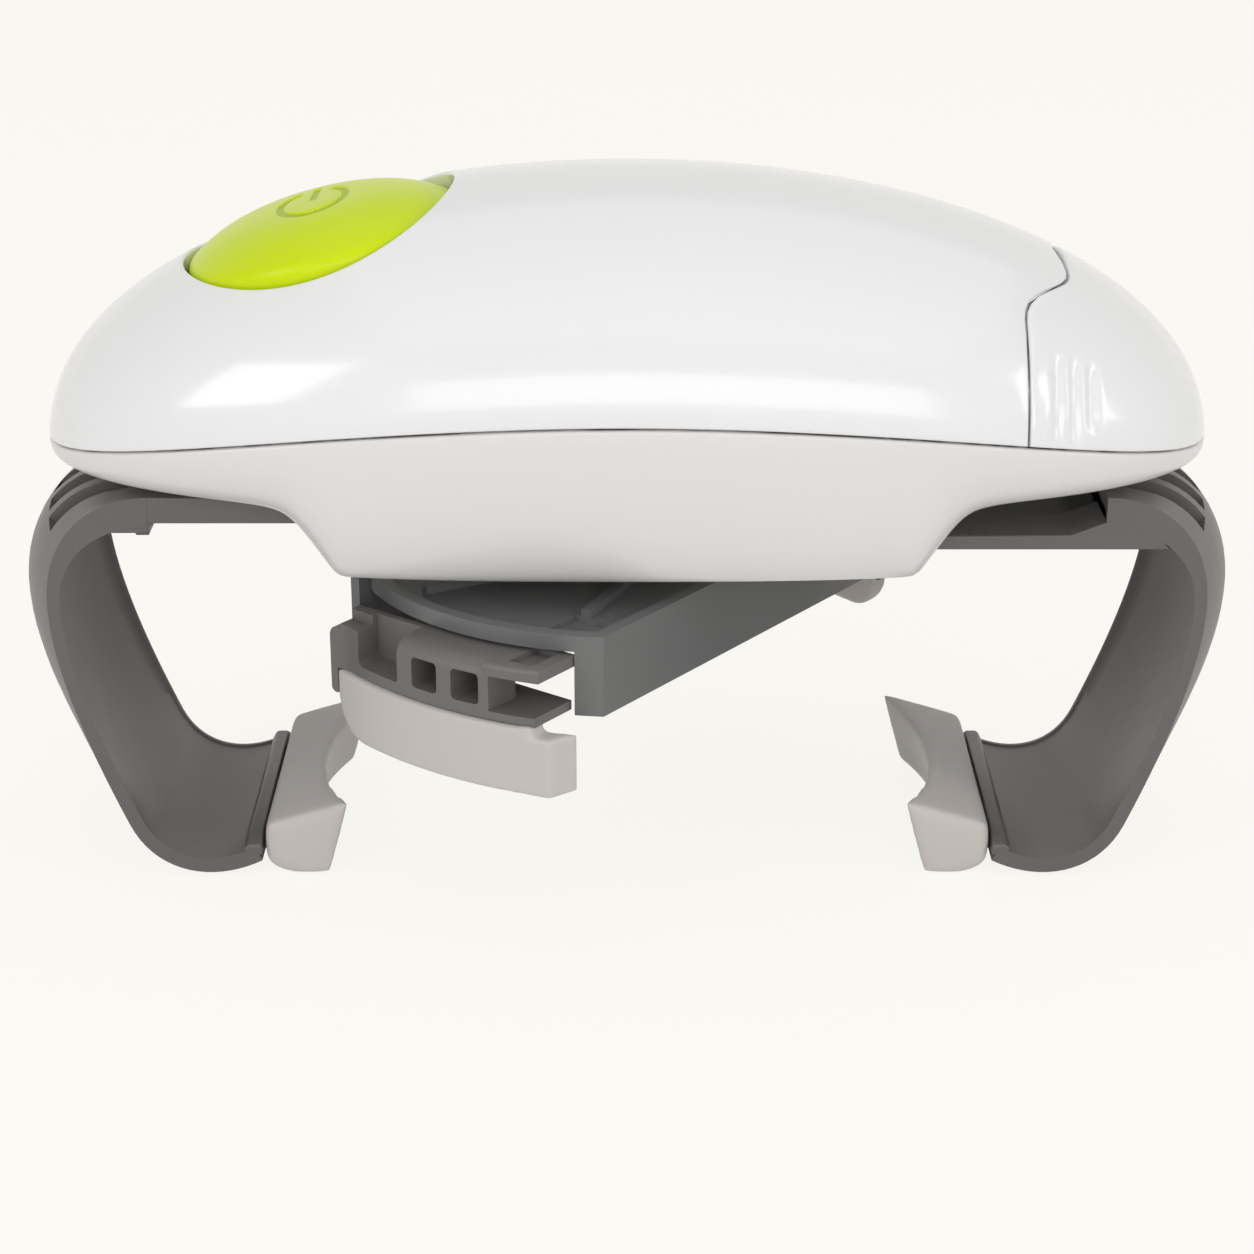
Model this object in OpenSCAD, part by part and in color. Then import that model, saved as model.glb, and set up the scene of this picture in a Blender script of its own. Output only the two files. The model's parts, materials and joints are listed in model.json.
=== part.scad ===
// Electric jar opener: an arched two-part body over two sliding side arms that hold the jar,
// and a turning clamp under the body whose two jaws grip the lid. Millimetres, +Z up.
// The origin is on the clamp's axis, level with the feet of the arms; +X points to the
// battery end. Heights stack up from the feet: clamp, boss, arm racks, gears, motor, crown.

/* [Body] */
// Half of the body's width at the seam
body_half_w = 37; // [36:0.5:42]
// Rise of the crown above the tips
crown_rise = 38.6; // [38:0.2:44]
// Rise of the seam above the tips, at the middle
seam_rise = 10.6; // [9.5:0.2:11.4]
// Rise of the tips above the underside of the wings
tip_rise = 3.9; // [3.6:0.1:4.6]
// Bluntness of the body's outline seen from above
plan_power = 2.5; // [2.4:0.1:3]
// Bluntness of the upper shell's cross-section
section_power = 1.9; // [1.85:0.05:2.3]
// Wall of both housings
wall = 2.2; // [1.8:0.1:2.5]
// Thickness of the floor of the lower housing
floor_t = 1.5; // [1.2:0.1:1.8]
// Gap along the seam between the housings
seam_gap = 0.3; // [0.2:0.05:0.5]
// Half of the boss's length, where its flanks start to rise
boss_half_l = 41; // [40:0.5:43]
// Steepness of the boss's flanks, rise over run
flank_slope = 1.6; // [1.4:0.1:2]

/* [Battery end] */
// Length of the cover beside the body's seam
cover_l = 29.5; // [28:0.5:31]
// Room between the end of the cells and the tip of the body
end_room = 13; // [12.6:0.1:18]
// How far the split bows out over the crown
cover_bow = 7.7; // [5:0.1:9]
// Gap between the cover and the upper housing
cover_gap = 0.4; // [0.3:0.05:0.6]
// Length of an AA cell without its cap
cell_l = 49.5; // [49:0.1:50]
// Diameter of an AA cell
cell_d = 14.5; // [14.2:0.1:14.6]
// Distance from the clamp axis to the cells' inner ends
cell_x = 22; // [21.5:0.1:22.5]
// Height of the cells' centres above the wing floor
cell_rise = 11.2; // [10.8:0.1:11.6]
// Wall of the battery tray
tray_wall = 1.5; // [1.2:0.1:1.6]

/* [Power button] */
// Radius of the button's rim
button_r = 20.2; // [18:0.2:20.4]
// Distance from the left tip to the button's centre
button_in = 40.9; // [39:0.1:41.4]
// Height of the button's centre above the tips
button_rise = 29.6; // [29.2:0.2:30.4]
// Lean of the button towards the left tip, in degrees
button_lean = 13.7; // [12:0.1:15]
// Height of the button's dome above its rim
button_dome = 5.2; // [4:0.2:6]
// Depth of the button's skirt below its centre
button_skirt = 7; // [6:0.2:7.4]
// Travel of the button when it is pressed
button_travel = 1.5; // [0.8:0.1:1.8]
// Gap between the button and its hole
button_gap = 0.4; // [0.3:0.05:0.6]

/* [Arms] */
// Width of an arm and its pad
arm_w = 42; // [38:0.5:42]
// Distance from the clamp axis to an arm's inner face at its widest
arm_out = 82.6; // [81:0.2:86]
// Distance from the clamp axis to the start of an arm's bend
arm_bend = 69; // [68:0.2:70]
// Thickness of an arm's side wall
arm_t = 1.8; // [1.6:0.1:2.4]
// Bulge of an arm's outside at the middle of its width
arm_bulge = 6.2; // [4:0.2:7]
// Distance from the clamp axis to the end of an arm's foot
foot_end = 56.1; // [55.6:0.1:56.6]
// Travel of the arms towards the clamp axis
arm_close = 28; // [20:1:28]
// Travel of the arms away from the rest position
arm_open = 4; // [2:0.5:5]
// Height of the pads' noses above the feet
pad_h = 13; // [12:0.2:15]
// Radius of the jar that the pads' noses fit
jar_r = 46; // [44:0.5:46.5]

/* [Arm racks] */
// Module of the arm rack and its pinion
arm_module = 1; // [1:0.1:1]
// Teeth of the arm pinion
arm_teeth = 28; // [26:2:28]
// Width of a rack bar
bar_w = 5.6; // [5:0.1:5.8]
// Height of a rack bar
bar_h = 4; // [3.4:0.1:4.4]
// Thickness of a guide plate
guide_t = 1.9; // [1.5:0.1:2.2]
// Height between a guide plate and the rack bar above it
guide_gap = 2.1; // [1.8:0.1:2.6]

/* [Clamp] */
// Height of the clamp's underside above the feet
clamp_z = 35; // [33:0.5:38]
// Height of the clamp's carrier
clamp_h = 12; // [11.6:0.1:13]
// Gap between the carrier and the boss
clamp_gap = 3.8; // [3.4:0.1:4.6]
// Radius of the carrier's ends
clamp_r = 41; // [40:0.1:42]
// Half of the carrier's width
clamp_half_w = 22; // [21.8:0.1:24]
// Wall of the carrier beside the rack bars
clamp_wall = 3.6; // [3.2:0.1:3.8]
// Thickness of the carrier's top plate
clamp_top = 2.4; // [2:0.1:2.7]
// Turn of the clamp at rest, in degrees
clamp_turn = -127; // [-180:1:180]
// Radius of the lid that the jaw pads fit
lid_r = 45.4; // [45:0.1:46]
// Thickness of a jaw pad at its middle
jaw_pad_t = 2.6; // [2.2:0.1:3.2]
// Height of a jaw pad
jaw_pad_h = 10.2; // [9:0.2:11]
// How far a jaw's face stands out from the carrier
jaw_depth = 5; // [4.6:0.1:5.6]
// Width of the ear beside a jaw's rack bar
jaw_ear = 2; // [1.6:0.1:2.2]
// Travel of the jaws towards the clamp axis
jaw_close = 27; // [20:1:27]
// Travel of the jaws away from the rest position
jaw_open = 2; // [1:0.5:3]

/* [Jaw racks] */
// Module of the jaw rack and its pinion
jaw_module = 1; // [1:0.1:1]
// Teeth of the jaw pinion
jaw_teeth = 24; // [24:2:24]

/* [Gear train] */
// Module of the gears
gear_module = 0.7; // [0.64:0.01:0.7]
// Teeth of the output gear
output_teeth = 40; // [38:1:40]
// Teeth of each large gear
wheel_teeth = 30; // [28:1:30]
// Teeth of each small gear
pinion_teeth = 12; // [12:1:14]
// Face width of a gear
gear_face = 2.5; // [2:0.1:2.6]
// Play between two meshing teeth
backlash = 0.16; // [0.1:0.02:0.24]
// Thickness of the plate under the gears
plate_low_t = 1.8; // [1.4:0.1:2]
// Thickness of the plate over the gears
plate_high_t = 1.8; // [1.4:0.1:2]
// Diameter of the gear shafts
shaft_d = 2.5; // [2:0.1:2.6]
// Diameter of the motor's can
motor_d = 20; // [16:0.5:20.4]
// Height of the motor's can
motor_h = 20; // [16:0.5:20.5]

/* [Output] */
// Diameter of the output shaft
output_d = 10; // [9:0.2:10.4]
// Diameter of the neck that the arm pinion turns on
neck_d = 14; // [13:0.2:15]
// Wall of the hub under the carrier's top plate
hub_wall = 2.4; // [2:0.1:2.6]

/* [Fits] */
// Radial play of a shaft in its bore
turn_fit = 0.05; // [0.03:0.01:0.08]
// Play around a part that slides
slide_fit = 0.2; // [0.15:0.01:0.3]
// Play between two parts that are fixed together
seat_fit = 0.02; // [0.01:0.01:0.05]
// Play between a soft pad and the tongue inside it
pad_fit = 0.2; // [0.15:0.01:0.3]
// Diameter of the housing screws
screw_d = 3; // [2.6:0.1:3.2]
// Diameter of the small screws
small_screw_d = 2; // [1.6:0.1:2.2]

/* [Hidden] */
$fn = 48;
PRESSURE = 25;          // pressure angle of all teeth, in degrees
ADDENDUM = 0.95;        // tooth height above the pitch line, in modules
DEDENDUM = 1.2;         // tooth depth below the pitch line, in modules
EPS = 0.01;

// Lengths, from the clamp axis outwards
cell_cap = 1;
cell_end = cell_x + cell_l + cell_cap;
body_half_l = cell_end + end_room;
cover_split = body_half_l - cover_l;
button_x = body_half_l - button_in;

// Heights, from the feet upwards
clamp_top_z = clamp_z + clamp_h;
boss_z = clamp_top_z + clamp_gap;
floor_z = boss_z + floor_t;
guide_z = floor_z + slide_fit;
bar_z = guide_z + guide_t + guide_gap;
bar_top_z = bar_z + bar_h;
plate_low_z = bar_top_z + 0.7;
layer = gear_face + 0.4;
layer_z = [for (k = [0:3]) plate_low_z + plate_low_t + 0.4 + k * layer];
plate_high_z = layer_z[3] + layer;
motor_z = plate_high_z + plate_high_t;
wing_z = bar_top_z + 1;
wing_floor_z = wing_z + floor_t;
tip_z = wing_z + tip_rise;
seam_z = tip_z + seam_rise;
crown_z = tip_z + crown_rise;

// Gear train
function pitch_r(teeth, m) = teeth * m / 2;
output_r = pitch_r(output_teeth, gear_module);
wheel_r = pitch_r(wheel_teeth, gear_module);
pinion_r = pitch_r(pinion_teeth, gear_module);
arm_pinion_r = pitch_r(arm_teeth, arm_module);
jaw_pinion_r = pitch_r(jaw_teeth, jaw_module);
// Directions in which the train steps from the output gear to the motor, in degrees
step_3 = 210;
step_2 = -30;
step_1 = 70;
step_0 = 130;
function stepped(from, r, a) = [from[0] + r * cos(a), from[1] + r * sin(a)];
gear_3_at = stepped([0, 0], output_r + pinion_r, step_3);
gear_2_at = stepped(gear_3_at, wheel_r + pinion_r, step_2);
gear_1_at = stepped(gear_2_at, wheel_r + pinion_r, step_1);
motor_at = stepped(gear_1_at, wheel_r + pinion_r, step_0);
// Turn that lets a gear of teeth_b mesh with one of teeth_a that is turned by turn_a,
// where direction is the line from the first gear to the second
function meshed(direction, turn_a, teeth_a, teeth_b) =
    direction + 180 - 360 / teeth_b * (0.5 - (direction - turn_a) * teeth_a / 360);
gear_3_turn = meshed(step_3, 0, output_teeth, pinion_teeth);
gear_2_turn = meshed(step_2, gear_3_turn, wheel_teeth, pinion_teeth);
gear_1_turn = meshed(step_1, gear_2_turn, wheel_teeth, pinion_teeth);
motor_turn = meshed(step_0, gear_1_turn, wheel_teeth, pinion_teeth);

// Battery end
tray_z = wing_floor_z + 1.1;
cell_z = wing_floor_z + cell_rise;
cell_y = cell_d / 2 + 0.55;
tray_half_w = cell_y + cell_d / 2 + 0.4 + tray_wall;
contact_t = 0.4;
// Where ribs cross the wing floor under the tray
tray_seat_x = [cell_x + 33, cell_x + 42];
bridge_x = cell_end + 0.1;
cover_web_x = bridge_x + contact_t + seat_fit;
rail_w = 2;

// Screws and pillars
pillar_y = arm_w / 2 + slide_fit + 3.8;
pillar_at = [for (sx = [-1, 1], sy = [-1, 1]) [sx * (boss_half_l - 5), sy * pillar_y]];
pillar_r = screw_d / 2 + 1.9;
plate_post_at = [for (sx = [-1, 1], sy = [-1, 1]) [sx * (boss_half_l - 13.5), sy * (pillar_y - 0.4)]];
post_r = small_screw_d / 2 + 1.6;
standoff_at = [[-24, 14], [15, 18.5], [15, -18.5], [-29, -17]];
screw_head_r = 2.8;
screw_l = 28;
screw_low_z = boss_z + 5;
screw_top_z = screw_low_z + screw_l;

// ---- Lofts: a skin over rings of points, closed at both ends ----

// A moulding whose skin is a loft is taken as one mesh, at its own size
module moulding() {
    resize([0, 0, 0]) children();
}

module loft(rings) {
    n = len(rings);
    k = len(rings[0]);
    points = [for (ring = rings) each ring];
    sides = [for (i = [0:n - 2], j = [0:k - 1])
        let (a = i * k + j, b = i * k + (j + 1) % k)
        each [[a, b + k, b], [a, a + k, b + k]]];
    first = [for (j = [0:k - 1]) j];
    last = [for (j = [k - 1:-1:0]) (n - 1) * k + j];
    polyhedron(points = points, faces = concat(sides, [first, last]));
}

// ---- Teeth ----

// Half of a tooth's angle at radius r, in degrees
function tooth_half(teeth, m, r) =
    let (pitch = pitch_r(teeth, m), base = pitch * cos(PRESSURE),
         a = r > base ? acos(base / r) : 0)
    90 / teeth - backlash / 4 / pitch * 180 / PI
        + (tan(PRESSURE) - tan(a)) * 180 / PI - PRESSURE + a;

module gear_outline(teeth, m) {
    pitch = pitch_r(teeth, m);
    base = pitch * cos(PRESSURE);
    root = pitch - DEDENDUM * m;
    tip = pitch + ADDENDUM * m;
    start = max(base, root + EPS);
    radii = [root, start, start + (tip - start) / 3, start + (tip - start) * 2 / 3, tip];
    polygon([for (i = [0:teeth - 1])
        each concat(
            [for (r = radii) let (a = i * 360 / teeth - tooth_half(teeth, m, r))
                [r * cos(a), r * sin(a)]],
            [for (k = [len(radii) - 1:-1:0]) let (r = radii[k],
                a = i * 360 / teeth + tooth_half(teeth, m, r)) [r * cos(a), r * sin(a)]])]);
}

module gear(teeth, m, h) {
    linear_extrude(h) gear_outline(teeth, m);
}

// Rack teeth that point to +Y from the pitch line on the X axis, from x0 to x1, with a gap
// centred at x = 0, on a strip that reaches down to -depth
module rack_outline(x0, x1, m, depth) {
    pitch = PI * m;
    tip = ADDENDUM * m;
    root = DEDENDUM * m;
    half = pitch / 4 - backlash / 4;
    first = ceil(x0 / pitch - 0.5 + 0.3);
    last = floor(x1 / pitch - 0.5 - 0.3);
    teeth = [for (i = [first:last]) let (c = (i + 0.5) * pitch)
        each [[c - half - root * tan(PRESSURE), -root], [c - half + tip * tan(PRESSURE), tip],
              [c + half - tip * tan(PRESSURE), tip], [c + half + root * tan(PRESSURE), -root]]];
    polygon(concat([[x0, -depth], [x0, -root]], teeth, [[x1, -root], [x1, -depth]]));
}

// ---- Body surfaces ----

// Half width at x of a body of half length l and half width w
function plan_w(x, l, w) = w * pow(max(0, 1 - pow(abs(x) / l, plan_power)), 1 / plan_power);
function crest(x, l, rise) = tip_z + rise * sqrt(max(0, 1 - pow(x / l, 2)));
function seam(x) = seam_z - seam_rise * pow(x / body_half_l, 2);
function soft_min(a, b, s) = (a + b - sqrt(pow(a - b, 2) + s * s)) / 2;
function soft_max(a, b, s) = (a + b + sqrt(pow(a - b, 2) + s * s)) / 2;
function wing(x, l) = tip_z - tip_rise * pow(max(0, 1 - pow(abs(x) / l, 4)), 1 / 4);
// Height of the underside at x, where the boss is half_l long
function under(x, l, half_l) =
    soft_max(boss_z, soft_min(boss_z + flank_slope * (abs(x) - half_l), wing(x, l), 4), 1);
function signed_pow(v, p) = sign(v) * pow(abs(v), p);

// Where the body is cut into rings: close together at the tips and the flanks
TIP_ANGLES = [3, 9, 15, 21, 27, 33, 39, 45];
FLANK_STEPS = [14, 11, 8.5, 6.5, 5, 3.6, 2.2, 0.8, -1];
MID_STEPS = [0.72, 0.42, 0.14];
half_rings = concat(
    [for (a = TIP_ANGLES) body_half_l * cos(a)],
    [for (s = FLANK_STEPS) if (boss_half_l + s < body_half_l * cos(46)) boss_half_l + s],
    [for (s = MID_STEPS) boss_half_l * s]);
ring_x = concat([for (x = half_rings) -x], [for (k = [len(half_rings) - 1:-1:0]) half_rings[k]]);
ARC = 14;

// Upper arc of the section at x, inset by t from the outside
function upper_arc(x, t) =
    let (l = body_half_l - t, xi = x * l / body_half_l,
         w = plan_w(xi, l, body_half_w - t), h = crest(xi, l, crown_rise - t) - seam(xi))
    [for (j = [0:ARC]) let (a = 180 * j / ARC)
        [xi, w * signed_pow(cos(a), 2 / section_power),
         seam(xi) + h * pow(sin(a), 2 / section_power)]];
function lower_arc(x, t, gap) =
    let (l = body_half_l - t, xi = x * l / body_half_l,
         w = plan_w(xi, l, body_half_w - t), flat = 0.78 * w,
         top = seam(xi) - gap,
         low = under(xi, l, boss_half_l - t) + (t > 0 ? floor_t : 0), q = ARC / 2 - 1)
    concat([for (j = [0:q]) let (a = 90 * j / q)
            [xi, flat + (w - flat) * cos(a), top - (top - low) * sin(a)]],
        [for (j = [q:-1:0]) let (a = 90 * j / q)
            [xi, -flat - (w - flat) * cos(a), top - (top - low) * sin(a)]]);
function flipped(list) = [for (k = [len(list) - 1:-1:0]) list[k]];
// The end ring's inner arc, flattened so that the tip of the shell is closed
function chord(arc) = [for (k = [0:len(arc) - 1]) let (s = 0.8 - 1.6 * k / (len(arc) - 1))
    [arc[0][0], arc[0][1] * s, arc[0][2]]];
function is_end(i) = i == 0 || i == len(ring_x) - 1;

module upper_shell() {
    loft([for (i = [0:len(ring_x) - 1]) let (x = ring_x[i], outer = upper_arc(x, 0))
        concat(outer, flipped(is_end(i) ? chord(outer) : upper_arc(x, wall)))]);
}

// Everything inside the upper shell's mid-surface, down to the seam
module upper_core() {
    loft([for (x = ring_x) upper_arc(x, wall / 2)]);
}

module lower_shell() {
    loft([for (i = [0:len(ring_x) - 1]) let (x = ring_x[i], outer = lower_arc(x, 0, seam_gap))
        flipped(concat(outer, flipped(is_end(i) ? chord(outer) : lower_arc(x, wall, seam_gap))))]);
}

// Region beyond the cover's split, seen from above
module cover_region(shift) {
    reach = body_half_l + 20;
    side = body_half_w + 10;
    inner = 8;
    outer = 22;
    bow = [for (k = [-10:10]) let (y = k / 10 * outer, a = max(0, abs(y) - inner) / (outer - inner))
        [cover_split + shift + cover_bow * (1 + cos(180 * a)) / 2, y]];
    translate([0, 0, tip_z - 10]) linear_extrude(crown_rise + 20)
        polygon(concat([[reach, -side], [reach, side], [cover_split + shift, side]],
            flipped(bow), [[cover_split + shift, -side]]));
}

// ---- Power button ----

module at_button() {
    translate([-button_x, 0, tip_z + button_rise]) rotate([0, -button_lean, 0]) children();
}

rim_n = -1.5;
cap_t = 1.8;
collar_wall = 1.6;
collar_low = -9;
board_n = -14.6;
board_t = 1.6;
board_post_x = -5;
board_post_y = button_r + button_gap + 2.4;
switch_h = 3.4;
stem_low = board_n + board_t + switch_h + button_travel + 0.1;
function dome_n(r) = rim_n + button_dome * (1 - pow(r / button_r, 2.6));

module power_button() {
    rings = [for (k = [0:8]) button_r * pow(k / 8, 0.8)];
    color([0.75, 0.86, 0.08]) at_button() difference() {
        union() {
            rotate_extrude() polygon(concat(
                [for (r = rings) [r, dome_n(r)]],
                [[button_r, -button_skirt], [button_r - cap_t, -button_skirt]],
                [for (k = [8:-1:0]) let (r = rings[k] * (button_r - cap_t) / button_r)
                    [r, dome_n(r) - cap_t]]));
            translate([0, 0, stem_low]) cylinder(d = 5, h = dome_n(0) - cap_t / 2 - stem_low);
        }
        power_mark();
    }
}

// Generic on/off mark, engraved in the dome
module power_mark() {
    mark_r = 5.6;
    line = 0.8;
    depth = 0.5;
    floor_n = dome_n(mark_r) - depth;
    translate([0, 0, floor_n]) rotate([0, 0, 90]) {
        rotate([0, 0, 30]) rotate_extrude(angle = 300)
            translate([mark_r - line / 2, 0]) square([line, 3]);
        translate([mark_r * 0.15, -line / 2, 0]) cube([mark_r, line, 3]);
    }
}

module button_spring() {
    low = board_n + board_t + 0.05;
    color("silver") at_button() translate([0, 0, low]) difference() {
        cylinder(d = 13, h = dome_n(6.5) - cap_t - 0.4 - low);
        translate([0, 0, -1]) cylinder(d = 11.4, h = 40);
    }
}

module circuit_board() {
    color("darkgreen") at_button() difference() {
        union() {
            translate([-9, -18, board_n]) cube([18, 36, board_t]);
            translate([board_post_x - 3.5, -board_post_y - 3.5, board_n])
                cube([7, 2 * board_post_y + 7, board_t]);
        }
        for (s = [-1, 1]) translate([board_post_x, s * board_post_y, board_n - 1])
            cylinder(d = small_screw_d + 0.1, h = board_t + 2);
    }
}

module switch() {
    body = 6;
    color("dimgray") at_button() translate([0, 0, board_n + board_t]) {
        translate([-body / 2, -body / 2, 0]) cube([body, body, switch_h - 1]);
        cylinder(d = 3.2, h = switch_h);
    }
}

module board_screws() {
    color("silver") at_button() for (s = [-1, 1]) translate([board_post_x, s * board_post_y, 0]) {
        translate([0, 0, board_n - 1.2]) cylinder(d = small_screw_d + 1.6, h = 1.2);
        translate([0, 0, board_n - 1.2])
            cylinder(d = small_screw_d - 0.2 - 2 * seat_fit, h = board_t + 4);
    }
}

// ---- Housings ----

module upper_housing() {
    color([0.95, 0.95, 0.96]) moulding($fn = 20) difference() {
        union() {
            upper_shell();
            intersection() {
                upper_core();
                union() {
                    at_button() translate([0, 0, collar_low])
                        cylinder(r = button_r + button_gap + collar_wall, h = 16, $fn = 60);
                    for (p = pillar_at) translate([p[0], p[1], seam(p[0])])
                        cylinder(r = pillar_r - 0.3, h = 30);
                }
            }
            at_button() for (s = [-1, 1]) board_post(s);
        }
        at_button() translate([0, 0, collar_low - 1])
            cylinder(r = button_r + button_gap, h = 22, $fn = 60);
        cover_region(-cover_gap);
        for (p = pillar_at) translate([p[0], p[1], seam_z - 12])
            cylinder(d = screw_d - 0.3, h = screw_top_z - seam_z + 12.5);
        at_button() for (s = [-1, 1]) translate([board_post_x, s * board_post_y, board_n])
            cylinder(d = small_screw_d - 0.2, h = board_t + 3.2);
    }
}

// Post beside the button's collar that carries the circuit board
module board_post(side) {
    low = board_n + board_t;
    translate([board_post_x, side * board_post_y, low]) cylinder(d = 5, h = collar_low + 3 - low);
}

module lower_housing() {
    slot_half = arm_w / 2 + slide_fit + 0.2;
    slot_in = boss_half_l - 10;
    slot_l = 27;
    slot_z = floor_z - 0.1;
    color([0.93, 0.92, 0.91]) moulding($fn = 20) difference() {
        union() {
            difference() {
                lower_shell();
                for (s = [-1, 1]) translate([s > 0 ? slot_in : -slot_in - slot_l, -slot_half, slot_z])
                    cube([slot_l, 2 * slot_half, bar_top_z + 0.5 - slot_z]);
            }
            for (p = pillar_at) translate([p[0], p[1], boss_z + 0.6])
                cylinder(r = pillar_r, h = seam(p[0]) - seam_gap - boss_z - 0.6);
            for (p = plate_post_at) translate([p[0], p[1], boss_z + 0.6])
                cylinder(r = post_r, h = plate_low_z - boss_z - 0.6);
            for (x = tray_seat_x) translate([x, -tray_half_w, wing_floor_z - 0.8])
                cube([2, 2 * tray_half_w, tray_z - wing_floor_z + 0.8]);
        }
        translate([0, 0, boss_z - 2]) cylinder(d = neck_d + 4 + 0.1, h = 6, $fn = 96);
        for (p = pillar_at) translate([p[0], p[1], boss_z - 2]) {
            cylinder(d = screw_d + 0.2, h = 40);
            cylinder(r = screw_head_r + 0.3, h = screw_low_z - boss_z + 2);
        }
        for (p = plate_post_at) translate([p[0], p[1], plate_low_z - 6])
            cylinder(d = small_screw_d - 0.2, h = 8);
    }
}

module battery_cover() {
    rail_z = seam(cover_split + cover_bow) + 1.6;
    rail_h = 5;
    color([0.95, 0.95, 0.96]) moulding() union() {
        intersection() {
            upper_shell();
            cover_region(0);
        }
        intersection() {
            upper_core();
            translate([0, 0, 0.4]) union() {
                for (s = [-1, 1]) translate([cover_split + 8, s > 0 ? tray_half_w + slide_fit
                        : -body_half_w, rail_z])
                    cube([2, body_half_w - tray_half_w - slide_fit, rail_h]);
                translate([cover_web_x, -tray_half_w + 1, cell_z - 6])
                    cube([1.5, 2 * tray_half_w - 2, 40]);
            }
        }
        for (s = [-1, 1]) translate([cover_split - 6, s > 0 ? tray_half_w + slide_fit
                : -tray_half_w - slide_fit - rail_w, rail_z + 0.4])
            cube([15, rail_w, rail_h]);
    }
}

module battery_tray() {
    inner = tray_half_w - tray_wall;
    end_x = cell_x - 1.9;
    length = cell_end - end_x;
    color([0.2, 0.2, 0.22]) difference() {
        union() {
            translate([end_x - tray_wall, -tray_half_w, tray_z])
                cube([length + tray_wall, 2 * tray_half_w, cell_z - tray_z]);
            translate([end_x - tray_wall, -tray_half_w, tray_z])
                cube([tray_wall, 2 * tray_half_w, cell_z + 5 - tray_z]);
        }
        for (s = [-1, 1]) translate([end_x, s * cell_y, cell_z]) rotate([0, 90, 0])
            cylinder(d = cell_d + 0.6, h = length + 1);
        translate([end_x, -inner, cell_z - 2]) cube([length + 1, 2 * inner, 10]);
    }
}

// side is the side of the body, and facing is +1 where the cell's cap points to the tip
module cell(side, facing) {
    color([0.55, 0.56, 0.58]) translate([cell_x, side * cell_y, cell_z]) rotate([0, 90, 0])
        translate([0, 0, facing > 0 ? 0 : cell_l + cell_cap]) rotate([facing > 0 ? 0 : 180, 0, 0])
        rotate_extrude() polygon([[0, 0], [cell_d / 2 - 1, 0], [cell_d / 2, 0.6],
            [cell_d / 2, cell_l - 0.6], [cell_d / 2 - 1, cell_l], [2.75, cell_l],
            [2.75, cell_l + cell_cap], [0, cell_l + cell_cap]]);
}

module inner_contacts() {
    x = cell_x - 1.9 + seat_fit;
    color("gold") for (s = [-1, 1]) translate([x, s * cell_y, cell_z]) rotate([0, 90, 0]) {
        translate([-4.5, -4.5, 0]) cube([9, 9, contact_t]);
        cylinder(d1 = 8, d2 = 4.5, h = 1.9 - 2 * seat_fit);
    }
}

module bridge_contact() {
    color("gold") translate([bridge_x, -cell_y - 4.5, cell_z - 4.5])
        cube([contact_t, 2 * cell_y + 9, 9]);
}

module housing_screws() {
    color("silver") for (p = pillar_at) translate([p[0], p[1], screw_low_z]) {
        translate([0, 0, -2]) cylinder(r = screw_head_r, h = 2 - seat_fit);
        translate([0, 0, -1]) cylinder(d = screw_d - 0.3 - 2 * seat_fit, h = screw_l);
    }
}

// ---- Gearbox ----

module gear_plate_lower() {
    long_l = boss_half_l - 3;
    short_l = boss_half_l - 10;
    color([0.72, 0.73, 0.75]) difference() {
        union() {
            translate([-short_l, -pillar_y - 1.5, plate_low_z])
                cube([2 * short_l, 2 * pillar_y + 3, plate_low_t]);
            translate([-long_l, -pillar_y + pillar_r + 0.4, plate_low_z])
                cube([2 * long_l, 2 * (pillar_y - pillar_r - 0.4), plate_low_t]);
            for (p = standoff_at) translate([p[0], p[1], plate_low_z])
                cylinder(r = post_r, h = plate_high_z - plate_low_z);
        }
        translate([0, 0, plate_low_z - 1])
            cylinder(d = output_d - 2 + 2 * turn_fit, h = plate_low_t + 2);
        for (p = [gear_2_at, gear_3_at]) translate([p[0], p[1], plate_low_z - 1])
            cylinder(d = shaft_d + 2 * seat_fit, h = plate_low_t + 2);
        for (p = plate_post_at) translate([p[0], p[1], plate_low_z - 1])
            cylinder(d = small_screw_d + 0.2, h = plate_low_t + 2);
        for (p = standoff_at) translate([p[0], p[1], plate_high_z - 6])
            cylinder(d = small_screw_d - 0.2, h = 8);
    }
}

motor_boss_d = 6;
rotor_d = 2;

module gear_plate_upper() {
    color([0.72, 0.73, 0.75]) difference() {
        translate([0, 0, plate_high_z]) linear_extrude(plate_high_t) offset(r = post_r, $fn = 32)
            polygon([standoff_at[0], standoff_at[1], standoff_at[2], standoff_at[3]]);
        for (p = [gear_1_at, gear_2_at, gear_3_at]) translate([p[0], p[1], plate_high_z - 1])
            cylinder(d = shaft_d + 2 * seat_fit, h = plate_high_t + 2);
        for (p = standoff_at) translate([p[0], p[1], plate_high_z - 1])
            cylinder(d = small_screw_d + 0.2, h = plate_high_t + 2);
        translate([motor_at[0], motor_at[1], plate_high_z - 1])
            cylinder(d = motor_boss_d + 0.2, h = plate_high_t + 2);
    }
}

module motor() {
    color([0.78, 0.79, 0.8]) translate([motor_at[0], motor_at[1], motor_z]) difference() {
        union() {
            cylinder(d = motor_d, h = motor_h - 2);
            cylinder(d = motor_d - 5, h = motor_h);
            translate([0, 0, -plate_high_t + 0.3]) cylinder(d = motor_boss_d, h = plate_high_t);
        }
        translate([0, 0, -plate_high_t - 1]) cylinder(d = rotor_d + 2 * turn_fit, h = 10);
    }
}

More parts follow.
